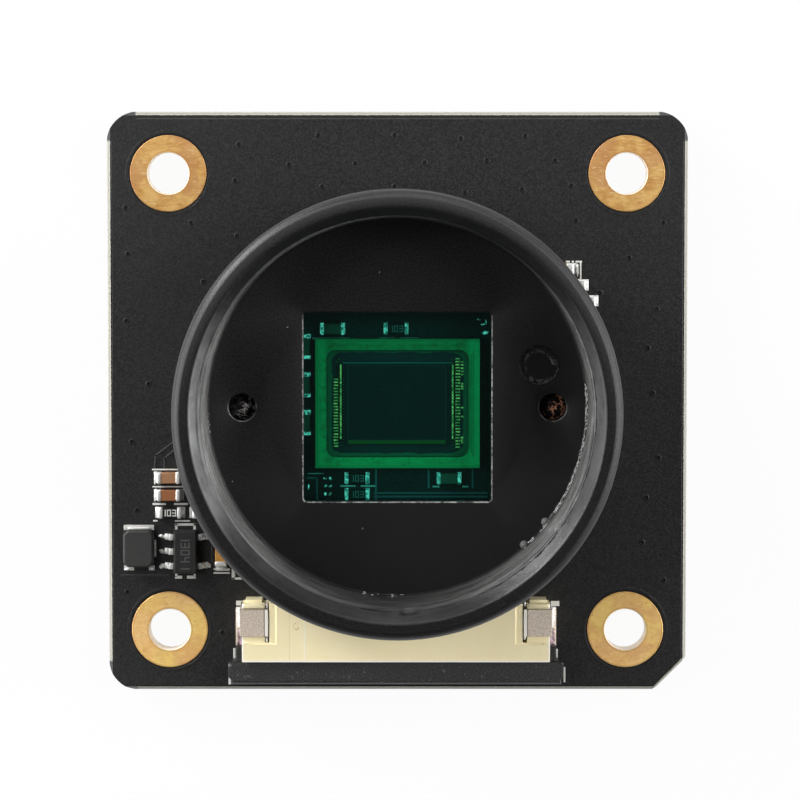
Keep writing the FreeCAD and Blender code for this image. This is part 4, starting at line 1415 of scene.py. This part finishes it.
def printedNumbers():
    # Plain digits made of straight strokes.
    n = numbers
    for kind, finish in (("white", inkFinish), ("dim", fadedInkFinish), ("grey", greyInkFinish)):
        shell = Shell()
        for digits, x, y, z, size, turns, group in n["marks"]:
            if group != kind:
                continue
            half, wide, t = size / 2, size * 0.3, size * n["stroke"] / 2
            left, right = (-wide, 2 * t - wide), (wide - 2 * t, wide)
            strokes = {
                "t": (-wide, wide, half - 2 * t, half), "m": (-wide, wide, -t, t),
                "f": (-wide, wide, -half, 2 * t - half),
                "a": (*left, 0, half), "b": (*right, 0, half), "c": (*left, -half, 0), "d": (*right, -half, 0),
            }
            for index, digit in enumerate(digits):
                across = (index - (len(digits) - 1) / 2) * size * 0.78
                for level, key in enumerate(n["segments"][digit]):
                    x0, x1, y0, y1 = strokes[key]
                    box = (x0 + across, x1 + across, y0, y1)
                    if turns:
                        box = (box[2], box[3], -box[1], -box[0])
                    top = z + 0.004 + level * 0.0004
                    shell.block(x + box[0], x + box[1], y + box[2], y + box[3], z - 0.02, top)
        shell.build(kind + "Numbers", [finish], slot="chip_resin")


printedNumbers()

blobs = {
    "seed": 11,
    "tin": [  # x, y, half length, half width, height
        (-15.5, -8.84, 0.20, 0.15, 0.16), (-15.5, -9.83, 0.20, 0.15, 0.16), (-15.5, -10.80, 0.22, 0.16, 0.18),
        (-12.48, -8.98, 0.20, 0.10, 0.12), (-12.5, -10.72, 0.22, 0.20, 0.16), (-12.9, -8.8, 0.10, 0.08, 0.1),
        (-17.7, -10.98, 0.28, 0.10, 0.2), (-16.12, -10.96, 0.12, 0.12, 0.2), (-13.0, -7.26, 0.10, 0.22, 0.12),
        (11.78, 8.68, 0.11, 0.38, 0.3), (-11.62, -10.95, 0.36, 0.12, 0.3),
    ],
    "clear": [
        *((x, y, 0.10, 0.09, 0.08) for x in (-4.75, -4.42) for y in (-5.02, -5.52, -6.04)),
        (5.75, 4.57, 0.26, 0.11, 0.15), (5.35, 5.45, 0.14, 0.05, 0.1), (5.8, 5.3, 0.06, 0.14, 0.1),
        (5.6, 5.12, 0.12, 0.05, 0.08), (-5.85, -5.6, 0.05, 0.22, 0.06),
    ],
}


def solderBlobs():
    # Uneven drops of solder at the feet of the small parts.
    chance = random.Random(blobs["seed"])
    # The drops under the filter glass take the finish with a painted glow.
    for kind, finish in (("tin", solderFinish), ("clear", clearTinFinish)):
        shell = Shell()
        for x, y, long, wide, high in blobs[kind]:
            turn = chance.uniform(0, 6)
            rings = []
            for reach, rise in ((1.0, -0.01), (0.96, 0.35), (0.7, 0.8), (0.3, 1.0)):
                ring = []
                for step in range(12):
                    a = 2 * math.pi * step / 12
                    rough = 1 + 0.22 * math.sin(2 * a + turn) + 0.10 * math.sin(5 * a + turn * 2)
                    ring.append((
                        x + long * reach * rough * math.cos(a), y + wide * reach * rough * math.sin(a),
                        boardTop + high * rise * (1 + 0.2 * math.sin(3 * a + turn)),
                    ))
                rings.append(ring)
            shell.stack(rings)
        shell.build(kind + "Blobs", [finish], slot="tinned_metal", smooth=70)


solderBlobs()
print("chip parts made")


dressed("connector_housing", "connectorHousing", nylonFinish, 0.035)
dressed("connector_contacts", "connectorContacts", contactFinish, 0.02)
dressed("connector_clips", "connectorClips", nickelFinish, 0.03)
dressed("connector_lock", "connectorLock", lockFinish, 0.05, body="cable_lock")

lockLip = {
    "across": (-10.92, 10.72),
    "along": (-18.38, -18.0),
    "heights": (1.78, 3.62),
}


def frontLip():
    # Low rounded lip along the front of the lock, which the finger pulls.
    shell = Shell()
    shell.block(*lockLip["across"], *lockLip["along"], *lockLip["heights"], 0.05)
    return shell.build("lockLip", [lockFinish], body="cable_lock", slot="lock_plastic", bevel=0.03)


frontLip()

clipDetail = {
    "seed": 5,
    "tabs": [(-8.58, -8.46, -15.52, -15.24), (-8.58, -8.46, -13.3, -13.02),
             (8.25, 8.37, -15.36, -15.08), (8.25, 8.37, -13.2, -12.92)],
    "tabHeights": (2.4, 4.02),
    "joints": [(-1, -10.64, -10.18, -16.05, -13.5), (1, 9.98, 10.44, -16.05, -13.5)],  # side, x, x, y, y
    "turning": -14.9,  # the joint is bright above this and dusky below
}


def clipJoints():
    # Bright slit edges beside the clips, and the uneven solder along their feet.
    c = clipDetail
    tabs = Shell()
    for x0, x1, y0, y1 in c["tabs"]:
        tabs.block(x0, x1, y0, y1, *c["tabHeights"], 0.02)
    tabs.build("clipTabs", [solderFinish], slot="tinned_metal")
    chance = random.Random(c["seed"])
    for name, finish, part in (("clipSolder", footFinish, 1), ("clipTarnish", duskFinish, 0)):
        shell = Shell()
        for side, x0, x1, y0, y1 in c["joints"]:
            low, high = (c["turning"] + 0.05, y1) if part else (y0, c["turning"] - 0.05)
            inner, outer = (x1, x0) if side < 0 else (x0, x1)
            rings = []
            for step in range(15):
                y = low + (high - low) * step / 14
                lift = chance.uniform(0.75, 1.1) * (0.4 if step in (0, 14) else 1.0)
                edge = outer - side * chance.uniform(0.0, 0.10)
                rings.append([
                    (edge, y, boardTop - 0.005), (edge - side * 0.05, y, boardTop + 0.26 * lift),
                    (inner + side * 0.14, y, boardTop + 0.75 * lift), (inner, y, boardTop + 1.25 * lift),
                    (inner, y, boardTop - 0.005),
                ])
            shell.stack(rings)
        shell.build(name, [finish], slot="tinned_metal", smooth=60)


clipJoints()
print("connector dressed")
